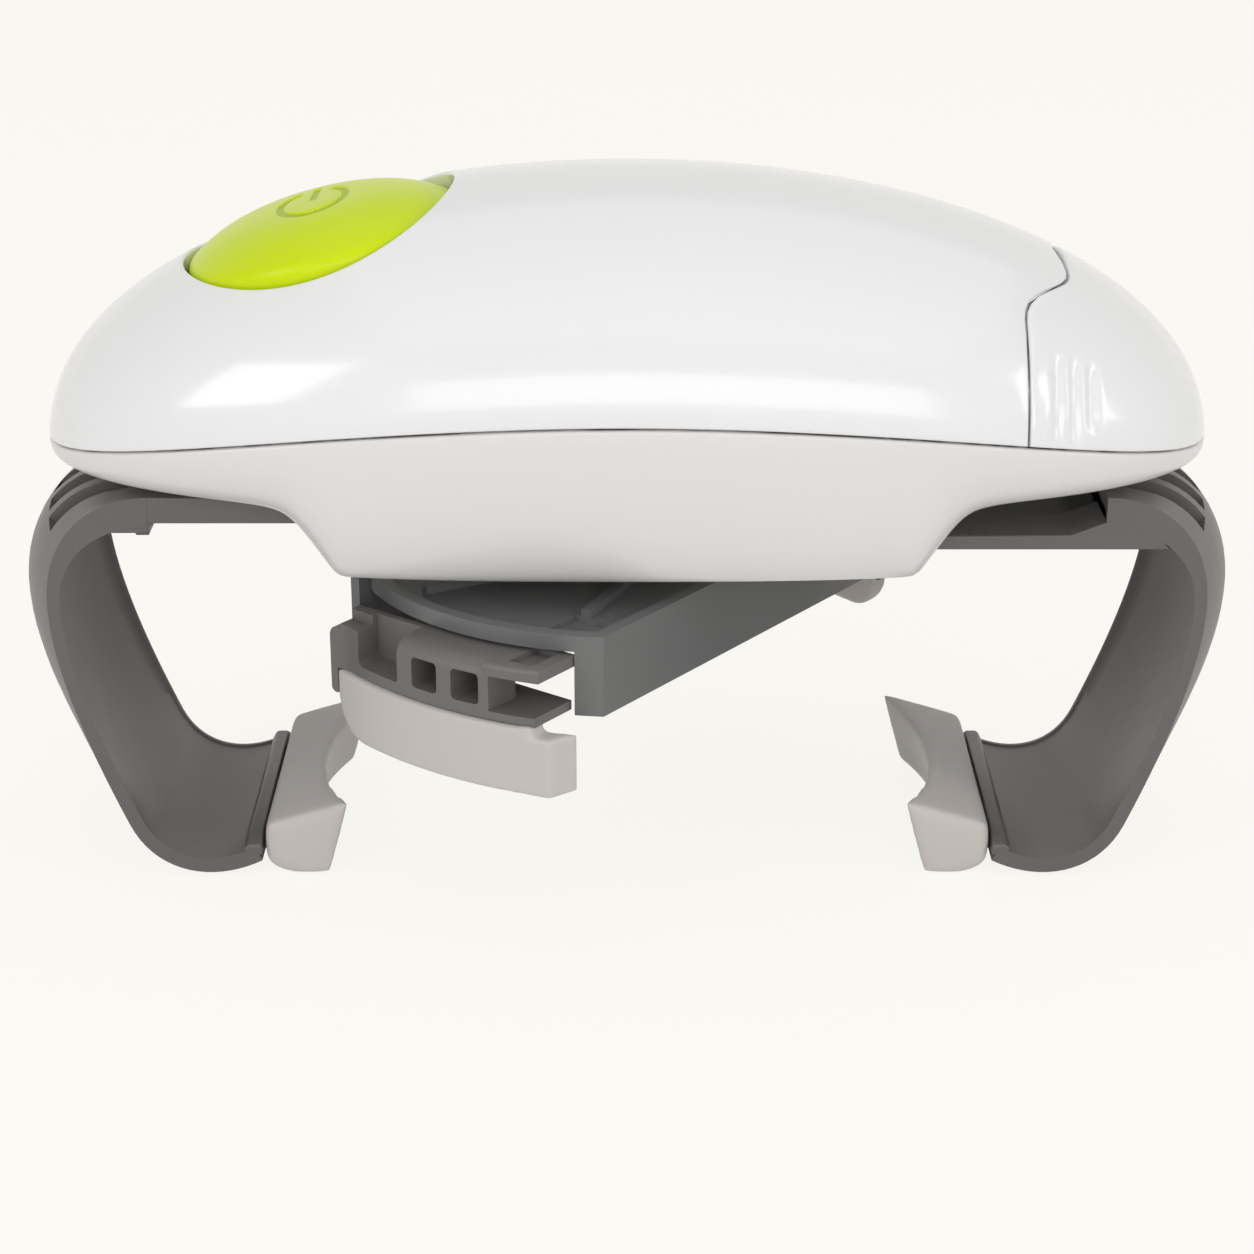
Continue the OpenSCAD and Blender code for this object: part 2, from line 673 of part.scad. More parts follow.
module motor_pinion() {
    low = layer_z[3];
    color("gold") translate([motor_at[0], motor_at[1], low]) union() {
        rotate([0, 0, motor_turn]) gear(pinion_teeth, gear_module, gear_face);
        cylinder(d = rotor_d, h = motor_z + 7 - low);
    }
}

// Large gear over a small one, in two neighbouring layers
module double_gear(at, turn, first_layer) {
    color([0.93, 0.93, 0.9]) translate([at[0], at[1], layer_z[first_layer]]) difference() {
        rotate([0, 0, turn]) union() {
            gear(pinion_teeth, gear_module, layer + EPS);
            translate([0, 0, layer]) gear(wheel_teeth, gear_module, gear_face);
        }
        translate([0, 0, -1]) cylinder(d = shaft_d + 2 * turn_fit, h = 2 * layer + 2);
    }
}

module gear_shafts() {
    top = plate_high_z + plate_high_t;
    color("silver") {
        for (p = [gear_2_at, gear_3_at]) translate([p[0], p[1], plate_low_z])
            cylinder(d = shaft_d, h = top - plate_low_z);
        translate([gear_1_at[0], gear_1_at[1], layer_z[2] - 0.3])
            cylinder(d = shaft_d, h = top - layer_z[2] + 0.3);
    }
}

seat_d = output_d - 3;

module output_gear() {
    color([0.93, 0.93, 0.9]) translate([0, 0, layer_z[0]]) difference() {
        gear(output_teeth, gear_module, gear_face);
        translate([0, 0, -1]) cylinder(d = seat_d + 2 * seat_fit, h = gear_face + 2);
    }
}

hub_d = seat_d + 2 * seat_fit + 2 * hub_wall;
hub_low_z = clamp_top_z - clamp_top - 6.7;
clip_z = layer_z[0] + gear_face + 0.1;

// Stepped shaft: thin in the hub, thick in the bush, thin again in the lower plate and gear
module output_shaft() {
    color("silver") difference() {
        rotate_extrude() polygon([[0, hub_low_z], [seat_d / 2, hub_low_z],
            [seat_d / 2, clamp_top_z + 0.2], [output_d / 2, clamp_top_z + 0.2],
            [output_d / 2, plate_low_z - 0.4],
            [output_d / 2 - 1, plate_low_z - 0.4], [output_d / 2 - 1, layer_z[0] - 0.1],
            [seat_d / 2, layer_z[0] - 0.1], [seat_d / 2, clip_z + 0.9], [0, clip_z + 0.9]]);
        translate([0, 0, clip_z]) difference() {
            cylinder(d = seat_d + 2, h = 0.6);
            translate([0, 0, -1]) cylinder(d = seat_d - 1, h = 3);
        }
        translate([0, 0, hub_low_z - 1]) cylinder(d = screw_d - 0.3, h = 12);
    }
}

module shaft_clip() {
    color("dimgray") translate([0, 0, clip_z + 0.05]) difference() {
        cylinder(d = seat_d + 3.4, h = 0.5);
        translate([0, 0, -1]) cylinder(d = seat_d - 1 + 0.1, h = 3);
        translate([0, -1.4, -1]) cube([seat_d, 2.8, 3]);
    }
}

// Flanged bush in the floor, with the neck that the arm pinion turns on
module output_bush() {
    color([0.85, 0.75, 0.5]) difference() {
        union() {
            translate([0, 0, boss_z]) cylinder(d = neck_d + 4 - 2 * seat_fit, h = floor_t + 1);
            translate([0, 0, floor_z + seat_fit]) cylinder(d = neck_d + 7, h = 1.2);
            translate([0, 0, boss_z]) cylinder(d = neck_d, h = plate_low_z - 0.1 - boss_z);
        }
        translate([0, 0, boss_z - 1]) cylinder(d = output_d + 2 * turn_fit, h = 20);
    }
}

module arm_pinion() {
    color([0.93, 0.93, 0.9]) translate([0, 0, bar_z]) difference() {
        gear(arm_teeth, arm_module, bar_h);
        translate([0, 0, -1]) cylinder(d = neck_d + 2 * turn_fit, h = bar_h + 2);
    }
}

module gearbox_screws() {
    color("silver") {
        for (p = standoff_at)
            small_screw([p[0], p[1], plate_high_z + plate_high_t], plate_high_t + 5);
        for (p = plate_post_at)
            small_screw([p[0], p[1], plate_low_z + plate_low_t], plate_low_t + 5);
    }
}

module small_screw(at, depth) {
    translate(at) {
        translate([0, 0, seat_fit]) cylinder(d = small_screw_d + 1.8, h = 1.3);
        translate([0, 0, -depth]) cylinder(d = small_screw_d - 0.2 - 2 * seat_fit, h = depth + 1);
    }
}

// ---- Arms ----

function bezier(p, t) =
    pow(1 - t, 3) * p[0] + 3 * t * pow(1 - t, 2) * p[1] + 3 * t * t * (1 - t) * p[2]
        + pow(t, 3) * p[3];
function bezier_way(p, t) = let (d = 3 * pow(1 - t, 2) * (p[1] - p[0])
    + 6 * t * (1 - t) * (p[2] - p[1]) + 3 * t * t * (p[3] - p[2])) d / norm(d);

// Inner edge of the arm as three curves, each point as distance from the axis and height
arm_in_z = bar_z - 0.5;
heel = arm_out - 10;
bend_curve = [[arm_bend, arm_in_z], [arm_bend + 8, arm_in_z], [arm_out + 0.1, arm_in_z - 5],
    [arm_out, arm_in_z - 12.5]];
side_curve = [[arm_out, arm_in_z - 12.5], [arm_out - 0.2, arm_in_z - 23], [heel + 3.9, 18],
    [heel, 9.2]];
foot_curve = [[heel, 9.2], [heel - 3.1, 2.4], [foot_end + 6.4, 1.4], [foot_end, 4.7]];
arm_curves = [bend_curve, side_curve, foot_curve];
arm_top_t = bar_top_z - arm_in_z;
foot_t = 2.4;
STEPS = 8;
ACROSS = 8;
// Thickness and bulge at s, which runs from 0 at the bend to 3 at the foot's end
function arm_wall(s) = s < 1 ? arm_t + (arm_top_t - arm_t) * (1 + cos(180 * s)) / 2
    : arm_t + (foot_t - arm_t) * (s - 1) / 2;
function arm_swell(s) = s < 0.15 || s > 2.1 ? 0 : arm_bulge * sin(180 * (s - 0.15) / 1.95);

function arm_ring(s) =
    let (k = min(2, floor(s)), p = bezier(arm_curves[k], s - k),
         w = bezier_way(arm_curves[k], s - k),
         out = [-w[1], w[0]])
    concat(
        [for (j = [0:ACROSS]) let (v = 2 * j / ACROSS - 1,
                q = p + out * (arm_wall(s) + arm_swell(s) * (1 - v * v)))
            [-q[0], v * arm_w / 2, q[1]]],
        [for (j = [ACROSS:-1:0]) let (v = 2 * j / ACROSS - 1,
                q = p + out * arm_swell(s) * 0.85 * (1 - v * v))
            [-q[0], v * arm_w / 2, q[1]]]);

// Blind slots that core the thick outside of the bend
SLOTS = 5;
slot_pitch = 6.6;
slot_w = 4.4;
module bend_slots() {
    for (k = [0:SLOTS - 1])
        translate([-arm_bend, (k - (SLOTS - 1) / 2) * slot_pitch + slot_w / 2, arm_in_z - 13])
        rotate([90, 0, 0]) rotate([0, 0, 96]) rotate_extrude(angle = 50)
            translate([15, -slot_w]) square([15, slot_w]);
}

bar_in = arm_open + 4;
rack_out = arm_close + 16;
guide_in = 10;
guide_w = 9.5;
tongue_z = 2.6;
tongue_l = 3.4;
tongue_t = 2;

// The left arm; the right one is the same piece turned by half a turn
module arm() {
    half = arm_w / 2;
    color([0.38, 0.37, 0.37]) moulding() difference() {
        union() {
            loft([for (i = [0:3 * STEPS]) arm_ring(i / STEPS)]);
            // Rack bar
            translate([0, -arm_pinion_r, bar_z]) linear_extrude(bar_h)
                rack_outline(-rack_out, bar_in, arm_module, half - arm_pinion_r);
            translate([-arm_bend - 1, -half, bar_z])
                cube([arm_bend + 1.5 - rack_out, half - arm_pinion_r - DEDENDUM * arm_module, bar_h]);
            // Guide plate, its ramp into the bend, and a stop tab
            translate([0, half, 0]) rotate([90, 0, 0]) linear_extrude(guide_w) polygon([
                [-guide_in, guide_z], [-guide_in, guide_z + guide_t],
                [-arm_bend + 5, guide_z + guide_t + 0.4],
                [-arm_bend - 1, bar_z + 0.6], [-arm_bend - 5, bar_z + 1.6], [-arm_bend - 9.6, guide_z],
                [-arm_bend + 4, guide_z]]);
            translate([-arm_bend - 6, -half, bar_z - 1.4]) cube([5, 5, 2.6]);
            // Cross rib behind the flank
            translate([-arm_bend - 2, -half + 1, guide_z + guide_t])
                cube([2, arm_w - 2, bar_z - guide_z]);
            // Lip along the foot's end, beside the pad
            translate([0, half, 0]) rotate([90, 0, 0]) linear_extrude(arm_w) polygon([
                [-foot_end - 1.8, 4], [-foot_end - 0.9, 6.6], [-pad_out - 0.3, 6.6],
                [-pad_out - 0.3, 3.2]]);
            // Tongue inside the pad
            translate([-foot_end - 1.2, -half + 4, tongue_z])
                cube([tongue_l + 1.2, arm_w - 8, tongue_t]);
        }
        bend_slots();
    }
}

// Soft pad on the arm's foot, hollowed to the jar's round side
pad_out = foot_end - 1.4;
pad_fall = 4.8;
module arm_pad() {
    half = arm_w / 2;
    nose = jar_r * sqrt(1 - pow(half / jar_r, 2));
    color([0.8, 0.78, 0.76]) difference() {
        translate([0, half, 0]) rotate([90, 0, 0]) linear_extrude(arm_w) polygon([
            [-pad_out, 1.8], [-pad_out + 3.2, 0], [-nose + 2, 0], [-nose + 2, pad_h],
            [-pad_out + 0.2, pad_h - pad_fall]]);
        cylinder(r1 = jar_r + 3.2, r2 = jar_r, h = pad_h);
        translate([-foot_end - 1, -half + 4 - pad_fit, tongue_z - pad_fit])
            cube([tongue_l + 1 + pad_fit, arm_w - 8 + 2 * pad_fit, tongue_t + 2 * pad_fit]);
    }
}

// ---- Clamp ----

module in_clamp() {
    rotate([0, 0, clamp_turn]) children();
}

jaw_low_z = clamp_z + 0.6;
ledge_z = clamp_z + 2.2;
ledge_t = 1.3;
jaw_bar_z = ledge_z + ledge_t + slide_fit;
jaw_top_z = clamp_top_z - clamp_top - 0.5;
roof_t = 1.8;
jaw_bar_h = jaw_top_z - roof_t - slide_fit - jaw_bar_z;
// A jaw's face stands out from the carrier, and covers its pad but for this ledge
pad_ledge = 2;
jaw_face = max(clamp_r + jaw_depth, lid_r + jaw_pad_t - pad_ledge);
jaw_back = jaw_close + jaw_pinion_r + ADDENDUM * jaw_module + 0.35;
channel = clamp_half_w - clamp_wall;
rail = 1.6;
// Where the channel widens for a jaw's ear, and where the ledge beside it ends
ear_in = jaw_back - jaw_close - 1;

module carrier_outline() {
    intersection() {
        circle(r = clamp_r, $fn = 96);
        square([2 * clamp_r, 2 * clamp_half_w], center = true);
    }
    for (a = [0, 180]) rotate(a) translate([0, -clamp_half_w])
        square([clamp_r - 3, clamp_wall - jaw_ear]);
}

module clamp_carrier() {
    rim = 1.2;
    end = clamp_r + 10;
    field_z = clamp_top_z - rim;
    channel_h = clamp_h - clamp_top + 1;
    color([0.42, 0.43, 0.44]) in_clamp() difference() {
        union() {
            difference() {
                translate([0, 0, clamp_z]) linear_extrude(clamp_h) carrier_outline();
                translate([-end, -channel, clamp_z - 1]) cube([2 * end, 2 * channel, channel_h]);
                for (a = [0, 180]) rotate([0, 0, a])
                    translate([ear_in, -channel - jaw_ear, clamp_z - 1])
                        cube([end, channel + jaw_ear, channel_h]);
                // Sunk field in the top plate, inside a raised rim
                translate([0, 0, field_z]) linear_extrude(rim + 1) intersection() {
                    circle(r = clamp_r - 2, $fn = 96);
                    square([2 * end, 2 * clamp_half_w - 4], center = true);
                }
            }
            // Ribs over the sunk field
            for (a = [0, 180]) rotate([0, 0, a]) {
                translate([12, 9, field_z - EPS]) rotate([0, 0, 14]) cube([22, 1.6, rim]);
                translate([12, -2, field_z - EPS]) rotate([0, 0, -24]) cube([24, 1.6, rim]);
            }
            // Ledges that carry the rack bars
            for (a = [0, 180]) rotate([0, 0, a]) translate([7 - clamp_r, -channel - EPS, ledge_z])
                cube([clamp_r - 7 + ear_in, rail + EPS, ledge_t]);
            translate([0, 0, hub_low_z + 0.4]) cylinder(d = hub_d, h = clamp_top_z - hub_low_z - 0.4);
        }
        translate([0, 0, clamp_z - 1]) cylinder(d = seat_d + 2 * seat_fit, h = clamp_h + 2);
        // Blind notches beside the ends of the rack bars
        for (a = [0, 180]) rotate([0, 0, a]) translate([28, 12, field_z - 0.7]) cube([6, 6, rim + 1]);
    }
}

// The front jaw, with its rack bar on the -Y side of the clamp's own frame
module jaw() {
    half = channel - slide_fit;
    depth = jaw_face - jaw_back;
    pass = jaw_pinion_r - ADDENDUM * jaw_module - 0.3;
    wing_l = 4;
    ear_top_z = jaw_top_z - 2;
    ear_drop = 4;
    ear_t = 2.2;
    pocket_l = depth - 1;
    pocket_w = 4.6;
    pocket_z = ledge_z + 0.4;
    recess_w = 8.6;
    color([0.4, 0.39, 0.39]) difference() {
        union() {
            // Full-height block, up to the path of the other jaw's bar
            translate([jaw_back, -half, jaw_low_z])
                cube([depth, half + pass, jaw_top_z - jaw_low_z]);
            // Ear, which also reaches down beside the pad
            translate([jaw_back, -half - jaw_ear, jaw_low_z])
                cube([depth, jaw_ear + EPS, ear_top_z - jaw_low_z]);
            translate([jaw_back + 1, -half - jaw_ear, jaw_low_z - ear_drop])
                cube([depth - 1, ear_t, ear_drop + EPS]);
            // Flange under the other jaw's bar, and roof over it
            translate([jaw_back - wing_l, 0, jaw_low_z])
                cube([depth + wing_l, half - 0.6, ledge_z - slide_fit - jaw_low_z]);
            translate([jaw_back - wing_l, 0, jaw_top_z - roof_t])
                cube([depth + wing_l, half, roof_t]);
            // Rack bar
            translate([0, -jaw_pinion_r, jaw_bar_z]) linear_extrude(jaw_bar_h)
                rack_outline(-jaw_open - 6, jaw_back + 1, jaw_module, half - jaw_pinion_r);
        }
        // Two square pockets and the open recess in the face
        for (y = [-2.5, 4.6]) translate([jaw_face - pocket_l, y, pocket_z])
            cube([pocket_l + 1, pocket_w, pocket_w]);
        translate([jaw_face - pocket_l, -half + 4.2, pocket_z - 0.2])
            cube([pocket_l + 1, recess_w, clamp_h]);
    }
}

// A jaw's soft pad: hollowed to the lid, with a flatter outside and a thick end
PAD_ROUND = 60;
// Directions of the thick end's start, its outer corner and its inner corner, in degrees
PAD_BLOCK = 19;
PAD_CORNER = 24.4;
PAD_END = 28.5;
function around(r, a) = [r * cos(a), r * sin(a)];
module jaw_pad() {
    out = lid_r + jaw_pad_t;
    height = jaw_pad_h - seat_fit;
    side = channel - slide_fit - 0.8;
    color([0.8, 0.77, 0.75]) translate([0, 0, jaw_low_z - jaw_pad_h]) union() {
        intersection() {
            difference() {
                translate([out - PAD_ROUND, 0, 0]) cylinder(r = PAD_ROUND, h = height, $fn = 160);
                translate([0, 0, -1]) cylinder(r = lid_r, h = height + 2, $fn = 96);
            }
            translate([lid_r / 2, -side, 0]) cube([lid_r, 2 * side, height]);
        }
        difference() {
            linear_extrude(height - 1.8) polygon([around(out + 1.2, PAD_BLOCK),
                around(out + 1.2, PAD_CORNER), around(lid_r + 0.1, PAD_END),
                around(lid_r - 1, PAD_BLOCK)]);
            translate([0, 0, -1]) cylinder(r = lid_r, h = height + 2, $fn = 96);
        }
    }
}

module jaw_pinion() {
    color([0.93, 0.93, 0.9]) in_clamp() translate([0, 0, jaw_bar_z]) difference() {
        gear(jaw_teeth, jaw_module, jaw_bar_h);
        translate([0, 0, -1]) cylinder(d = hub_d + 2 * turn_fit, h = jaw_bar_h + 2);
    }
}

washer_z = hub_low_z - 1;
module pinion_washer() {
    color("silver") translate([0, 0, washer_z]) difference() {
        cylinder(d = hub_d + 3, h = 0.9);
        translate([0, 0, -1]) cylinder(d = screw_d + 0.2, h = 3);
    }
}

module clamp_screw() {
    color("silver") translate([0, 0, washer_z - seat_fit]) {
        translate([0, 0, -1.6]) cylinder(r = screw_head_r, h = 1.6);
        translate([0, 0, -1]) cylinder(d = screw_d - 0.3 - 2 * seat_fit, h = 10);
    }
}

upper_housing();
lower_housing();
battery_cover();
power_button();
button_spring();
circuit_board();
switch();
board_screws();
gear_plate_lower();
gear_plate_upper();
motor();
motor_pinion();
double_gear(gear_1_at, gear_1_turn, 2);  // gear_1
double_gear(gear_2_at, gear_2_turn, 1);  // gear_2
double_gear(gear_3_at, gear_3_turn, 0);  // gear_3
gear_shafts();
output_gear();
output_shaft();
output_bush();
shaft_clip();
arm_pinion();
arm();  // left_arm
rotate([0, 0, 180]) arm();  // right_arm
arm_pad();  // left_arm_pad
rotate([0, 0, 180]) arm_pad();  // right_arm_pad
clamp_carrier();
in_clamp() jaw();  // front_jaw
in_clamp() rotate([0, 0, 180]) jaw();  // rear_jaw
in_clamp() jaw_pad();  // front_jaw_pad
in_clamp() rotate([0, 0, 180]) jaw_pad();  // rear_jaw_pad
jaw_pinion();
pinion_washer();
clamp_screw();
battery_tray();
cell(-1, 1);  // battery_1
cell(1, -1);  // battery_2
inner_contacts();
bridge_contact();
housing_screws();
gearbox_screws();
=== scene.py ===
# %% [markdown]
# # An electric jar opener
# This lesson dresses a measured model of a battery jar opener: an arched white body, a lime
# button, two dark arms with soft pads, and a turning clamp with two jaws.
# The measured model comes in as a frame of named nodes on named bodies. Shapes that it holds
# only roughly, such as the glossy shells, are made again here as finer meshes in the same
# place, and the rest keeps its shape and gets a finish. Sizes are written in millimetres,
# because that is how the object is measured, and turned into metres as a mesh is made.

# %% Load the frame
import json
import math

import bmesh
import bpy
import numpy as np
from mathutils import Matrix, Vector
from mathutils.bvhtree import BVHTree
from mathutils.interpolate import poly_3d_calc


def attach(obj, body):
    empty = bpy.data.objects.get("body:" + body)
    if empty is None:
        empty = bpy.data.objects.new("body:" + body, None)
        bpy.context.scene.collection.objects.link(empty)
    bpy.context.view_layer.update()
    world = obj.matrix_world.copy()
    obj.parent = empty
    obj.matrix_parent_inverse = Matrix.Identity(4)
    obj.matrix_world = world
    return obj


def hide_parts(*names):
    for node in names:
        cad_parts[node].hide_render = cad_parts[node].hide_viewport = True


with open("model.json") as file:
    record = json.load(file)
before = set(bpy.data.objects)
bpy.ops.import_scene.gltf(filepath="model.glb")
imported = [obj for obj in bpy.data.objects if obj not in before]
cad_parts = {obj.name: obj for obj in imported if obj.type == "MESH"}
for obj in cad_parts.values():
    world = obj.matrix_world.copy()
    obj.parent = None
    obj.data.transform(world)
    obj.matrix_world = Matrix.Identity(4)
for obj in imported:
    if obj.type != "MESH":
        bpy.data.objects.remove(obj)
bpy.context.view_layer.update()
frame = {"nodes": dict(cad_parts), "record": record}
nodes = frame["nodes"]
MM = 0.001

# %% [markdown]
# ## Camera
# The opener was seen from the front, looking down by 22 degrees, from 44 cm away. A long lens
# keeps its sides nearly parallel. The camera could be tied to a target by a constraint, but a
# plain place and turn are easier to read and to check.

# %% Place the camera
VIEW_DOWN = math.radians(22)
VIEW_FAR = 0.440
VIEW_AT = Vector((0, 0, 0.03207))
lens = bpy.data.cameras.new("photo_camera")
lens.sensor_width = 36
lens.lens = 36 * 2860 / 1254
lens.clip_start = 0.01
camera = bpy.data.objects.new("photo_camera", lens)
bpy.context.scene.collection.objects.link(camera)
camera.location = VIEW_AT + VIEW_FAR * Vector((0, -math.cos(VIEW_DOWN), math.sin(VIEW_DOWN)))
camera.rotation_euler = (math.pi / 2 - VIEW_DOWN, 0, 0)
bpy.context.scene.camera = camera
print("camera at", [round(v, 4) for v in camera.location])

# %% [markdown]
# ## Shader maths as Python
# A material is a small network of nodes. Written out link by link it is hard to follow, so a
# socket is wrapped in a class that knows arithmetic: `1 - noise * 0.3` then adds the Math
# nodes by itself. Any other node comes from one method, `node`, which takes the node's type,
# its settings, and what goes into its sockets. A world is made of nodes too, so that method
# belongs to a tree of nodes, and a finish is a tree with a Principled shader.

# %% A socket that can do sums
class Wire:
    """One output of a node, which can be added, multiplied and so on."""

    def __init__(self, tree, socket):
        self.tree = tree
        self.socket = socket

    def _sum(self, operation, first, second):
        return self.tree.node("ShaderNodeMath", {"operation": operation}, {0: first, 1: second})

    def __add__(self, other):
        return self._sum("ADD", self, other)

    __radd__ = __add__

    def __sub__(self, other):
        return self._sum("SUBTRACT", self, other)

    def __rsub__(self, other):
        return self._sum("SUBTRACT", other, self)

    def __mul__(self, other):
        return self._sum("MULTIPLY", self, other)

    __rmul__ = __mul__


print("sockets can be added, subtracted and multiplied")


# %% A tree of nodes, and the one method that adds to it
class Tree:
    """The nodes of a material or of a world."""

    def __init__(self, owner):
        owner.use_nodes = True
        self.nodes = owner.node_tree.nodes
        self.links = owner.node_tree.links

    def node(self, kind, settings=None, inputs=None, out=0):
        made = self.nodes.new(kind)
        for key, value in (settings or {}).items():
            setattr(made, key, value)
        for key, value in (inputs or {}).items():
            self.feed(made.inputs[key], value)
        return Wire(self, made.outputs[out])

    def feed(self, socket, value):
        if isinstance(value, Wire):
            self.links.new(value.socket, socket)
        elif socket.type == "RGBA" and len(value) == 3:
            socket.default_value = (*value, 1)
        else:
            socket.default_value = value


print("any node can be added")


# %% A finish
class Finish(Tree):
    """A material with a Principled shader whose sockets are set by name."""

    def __init__(self, name, **constants):
        self.material = bpy.data.materials.new(name)
        super().__init__(self.material)
        self.shader = self.nodes["Principled BSDF"]
        for socket, value in constants.items():
            self.set(socket.replace("_", " "), value)

    def set(self, socket, value):
        self.feed(self.shader.inputs[socket], value)

    def place(self, stretch=(1, 1, 1)):
        """The point on the piece in its own metres, stretched along each axis."""
        here = self.node("ShaderNodeTexCoord", out="Object")
        return self.node("ShaderNodeVectorMath", {"operation": "MULTIPLY"}, {0: here, 1: stretch})

    def noise(self, size_mm, detail=2.0, stretch=(1, 1, 1)):
        """Cloudy noise from 0 to 1 whose patches are about size_mm across."""
        return self.node("ShaderNodeTexNoise", {"noise_dimensions": "3D"},
                         {"Vector": self.place(stretch), "Scale": 1000 / size_mm, "Detail": detail})

    def blend(self, factor, one, other):
        """A colour between one and other."""
        return self.node("ShaderNodeMix", {"data_type": "RGBA"}, {0: factor, 6: one, 7: other}, out=2)

    def bump(self, height, depth_mm):
        """Lets a height from 0 to 1 tilt the surface as if it were depth_mm deep."""
        self.set("Normal", self.node("ShaderNodeBump", None,
                                     {"Strength": 1.0, "Distance": depth_mm * MM, "Height": height}))


print("finishes can be made")

# %% [markdown]
# ## The finishes
# Moulded plastic is never one flat colour. Its tint drifts by a per cent or two over a few
# centimetres, its gloss is a little uneven, and a texture from the mould's spark-eroded steel
# gives the dark parts their satin look. Each plastic here gets a slow drift for the colour, a
# faster one for the roughness, and a fine bump of a few hundredths of a millimetre.

# %% Moulded plastics
def shade(color, k):
    return tuple(min(1, c * k) for c in color)


def moulded(name, color, rough, grain_mm=0.35, grain_depth=0.01, coat=0.0, drift=0.04, **more):
    finish = Finish(name, Coat_Roughness=0.08, **more)
    slow = finish.noise(28, 3)
    fast = finish.noise(3.5, 3)
    finish.set("Base Color", finish.blend(slow, shade(color, 1 - drift), shade(color, 1 + drift)))
    finish.set("Roughness", rough + (fast - 0.5) * 0.08)
    finish.set("Coat Weight", coat)
    finish.bump(finish.noise(grain_mm, 1), grain_depth)
    return finish.material


shell_white = moulded("shell_white", (0.88, 0.88, 0.893), 0.2, 1.2, 0.002, coat=0.5, drift=0.01)
base_white = moulded("base_white", (0.79, 0.772, 0.763), 0.3, 0.9, 0.003, coat=0.15, drift=0.012)
button_lime = moulded("button_lime", (0.66, 0.82, 0.003), 0.3, 1.0, 0.003, coat=0.05, drift=0.02,
                      Specular_IOR_Level=0.18)
mark_lime = moulded("mark_lime", (0.45, 0.57, 0.002), 0.4, 1.0, 0.003, drift=0.02,
                    Specular_IOR_Level=0.3)
arm_grey = moulded("arm_grey", (0.125, 0.12, 0.119), 0.42, 0.22, 0.012, drift=0.05)
carrier_grey = moulded("carrier_grey", (0.16, 0.162, 0.163), 0.32, 0.22, 0.012, drift=0.05)
jaw_grey = moulded("jaw_grey", (0.15, 0.144, 0.141), 0.42, 0.22, 0.014, drift=0.05)
pad_rubber = moulded("pad_rubber", (0.6, 0.56, 0.54), 0.5, 0.3, 0.01, drift=0.02)
gear_plastic = moulded("gear_plastic", (0.72, 0.71, 0.65), 0.4, 0.6, 0.004)
tray_plastic = moulded("tray_plastic", (0.018, 0.018, 0.02), 0.5, 0.3, 0.012)
bush_plastic = moulded("bush_plastic", (0.6, 0.5, 0.28), 0.4, 0.6, 0.004)
print("plastics made")

# %% [markdown]
# Metal shows long fine lines where it was rolled or drawn, so its noise is stretched along one
# axis. The cells have a plain painted jacket with a bare steel end, and the board is green
# laminate under a thin mask that shows faint copper areas.

# %% Metals
def brushed(name, color, rough, along=(1, 0.04, 1)):
    finish = Finish(name, Metallic=1.0)
    lines = finish.noise(0.25, 2, along)
    finish.set("Base Color", finish.blend(finish.noise(6, 3), shade(color, 0.9), shade(color, 1.06)))
    finish.set("Roughness", rough + (lines - 0.5) * 0.18)
    finish.bump(lines, 0.004)
    return finish.material


steel = brushed("steel", (0.6, 0.6, 0.6), 0.3, (1, 1, 0.05))
plate_zinc = brushed("plate_zinc", (0.52, 0.54, 0.56), 0.36)
brass = brushed("brass", (0.72, 0.53, 0.2), 0.28, (1, 1, 0.05))
print("metals made")

# %% Cell jacket and board
BAND_FROM = 60.0
BOARD_CELLS, TRACK_EDGE = 260, 0.08


def cell_jacket():
    finish = Finish("cell_jacket", Metallic=0.2)
    along = finish.node("ShaderNodeSeparateXYZ", None, {0: finish.place()}, out="X")
    band = finish.node("ShaderNodeMath", {"operation": "GREATER_THAN"}, {0: along, 1: BAND_FROM * MM})
    finish.set("Base Color", finish.blend(band, (0.09, 0.1, 0.11), (0.42, 0.4, 0.36)))
    finish.set("Roughness", finish.noise(2, 2) * 0.1 + 0.3)
    return finish.material


def laminate():
    finish = Finish("board_laminate", Coat_Weight=0.3)
    copper = finish.node("ShaderNodeTexVoronoi", {"feature": "DISTANCE_TO_EDGE"},
                         {"Vector": finish.place(), "Scale": BOARD_CELLS})
    tracks = finish.node("ShaderNodeMath", {"operation": "LESS_THAN"}, {0: copper, 1: TRACK_EDGE})
    finish.set("Base Color", finish.blend(tracks, (0.02, 0.16, 0.05), (0.05, 0.26, 0.1)))
    finish.set("Roughness", finish.noise(1, 2) * 0.1 + 0.35)
    return finish.material


jacket = cell_jacket()
board_green = laminate()
print("jacket and board made")

# %% Give every node of the frame its finish
FINISH_OF = {
    "gear_plastic": gear_plastic, "tray_plastic": tray_plastic, "bush_plastic": bush_plastic,
    "steel": steel, "plate_steel": plate_zinc, "brass_part": brass, "cell_jacket": jacket,
    "board_laminate": board_green, "white_shell": shell_white, "warm_white_shell": base_white,
    "lime_button": button_lime, "arm_plastic": arm_grey, "arm_pad_rubber": pad_rubber,
    "carrier_plastic": carrier_grey, "jaw_plastic": jaw_grey, "jaw_pad_rubber": pad_rubber,
}
slot_of = {s["node"]: s["material_slot"] for s in frame["record"]["subparts"]}
for name, piece in nodes.items():
    piece.data.materials.clear()
    piece.data.materials.append(FINISH_OF[slot_of[name]])
print(len(nodes), "nodes finished")

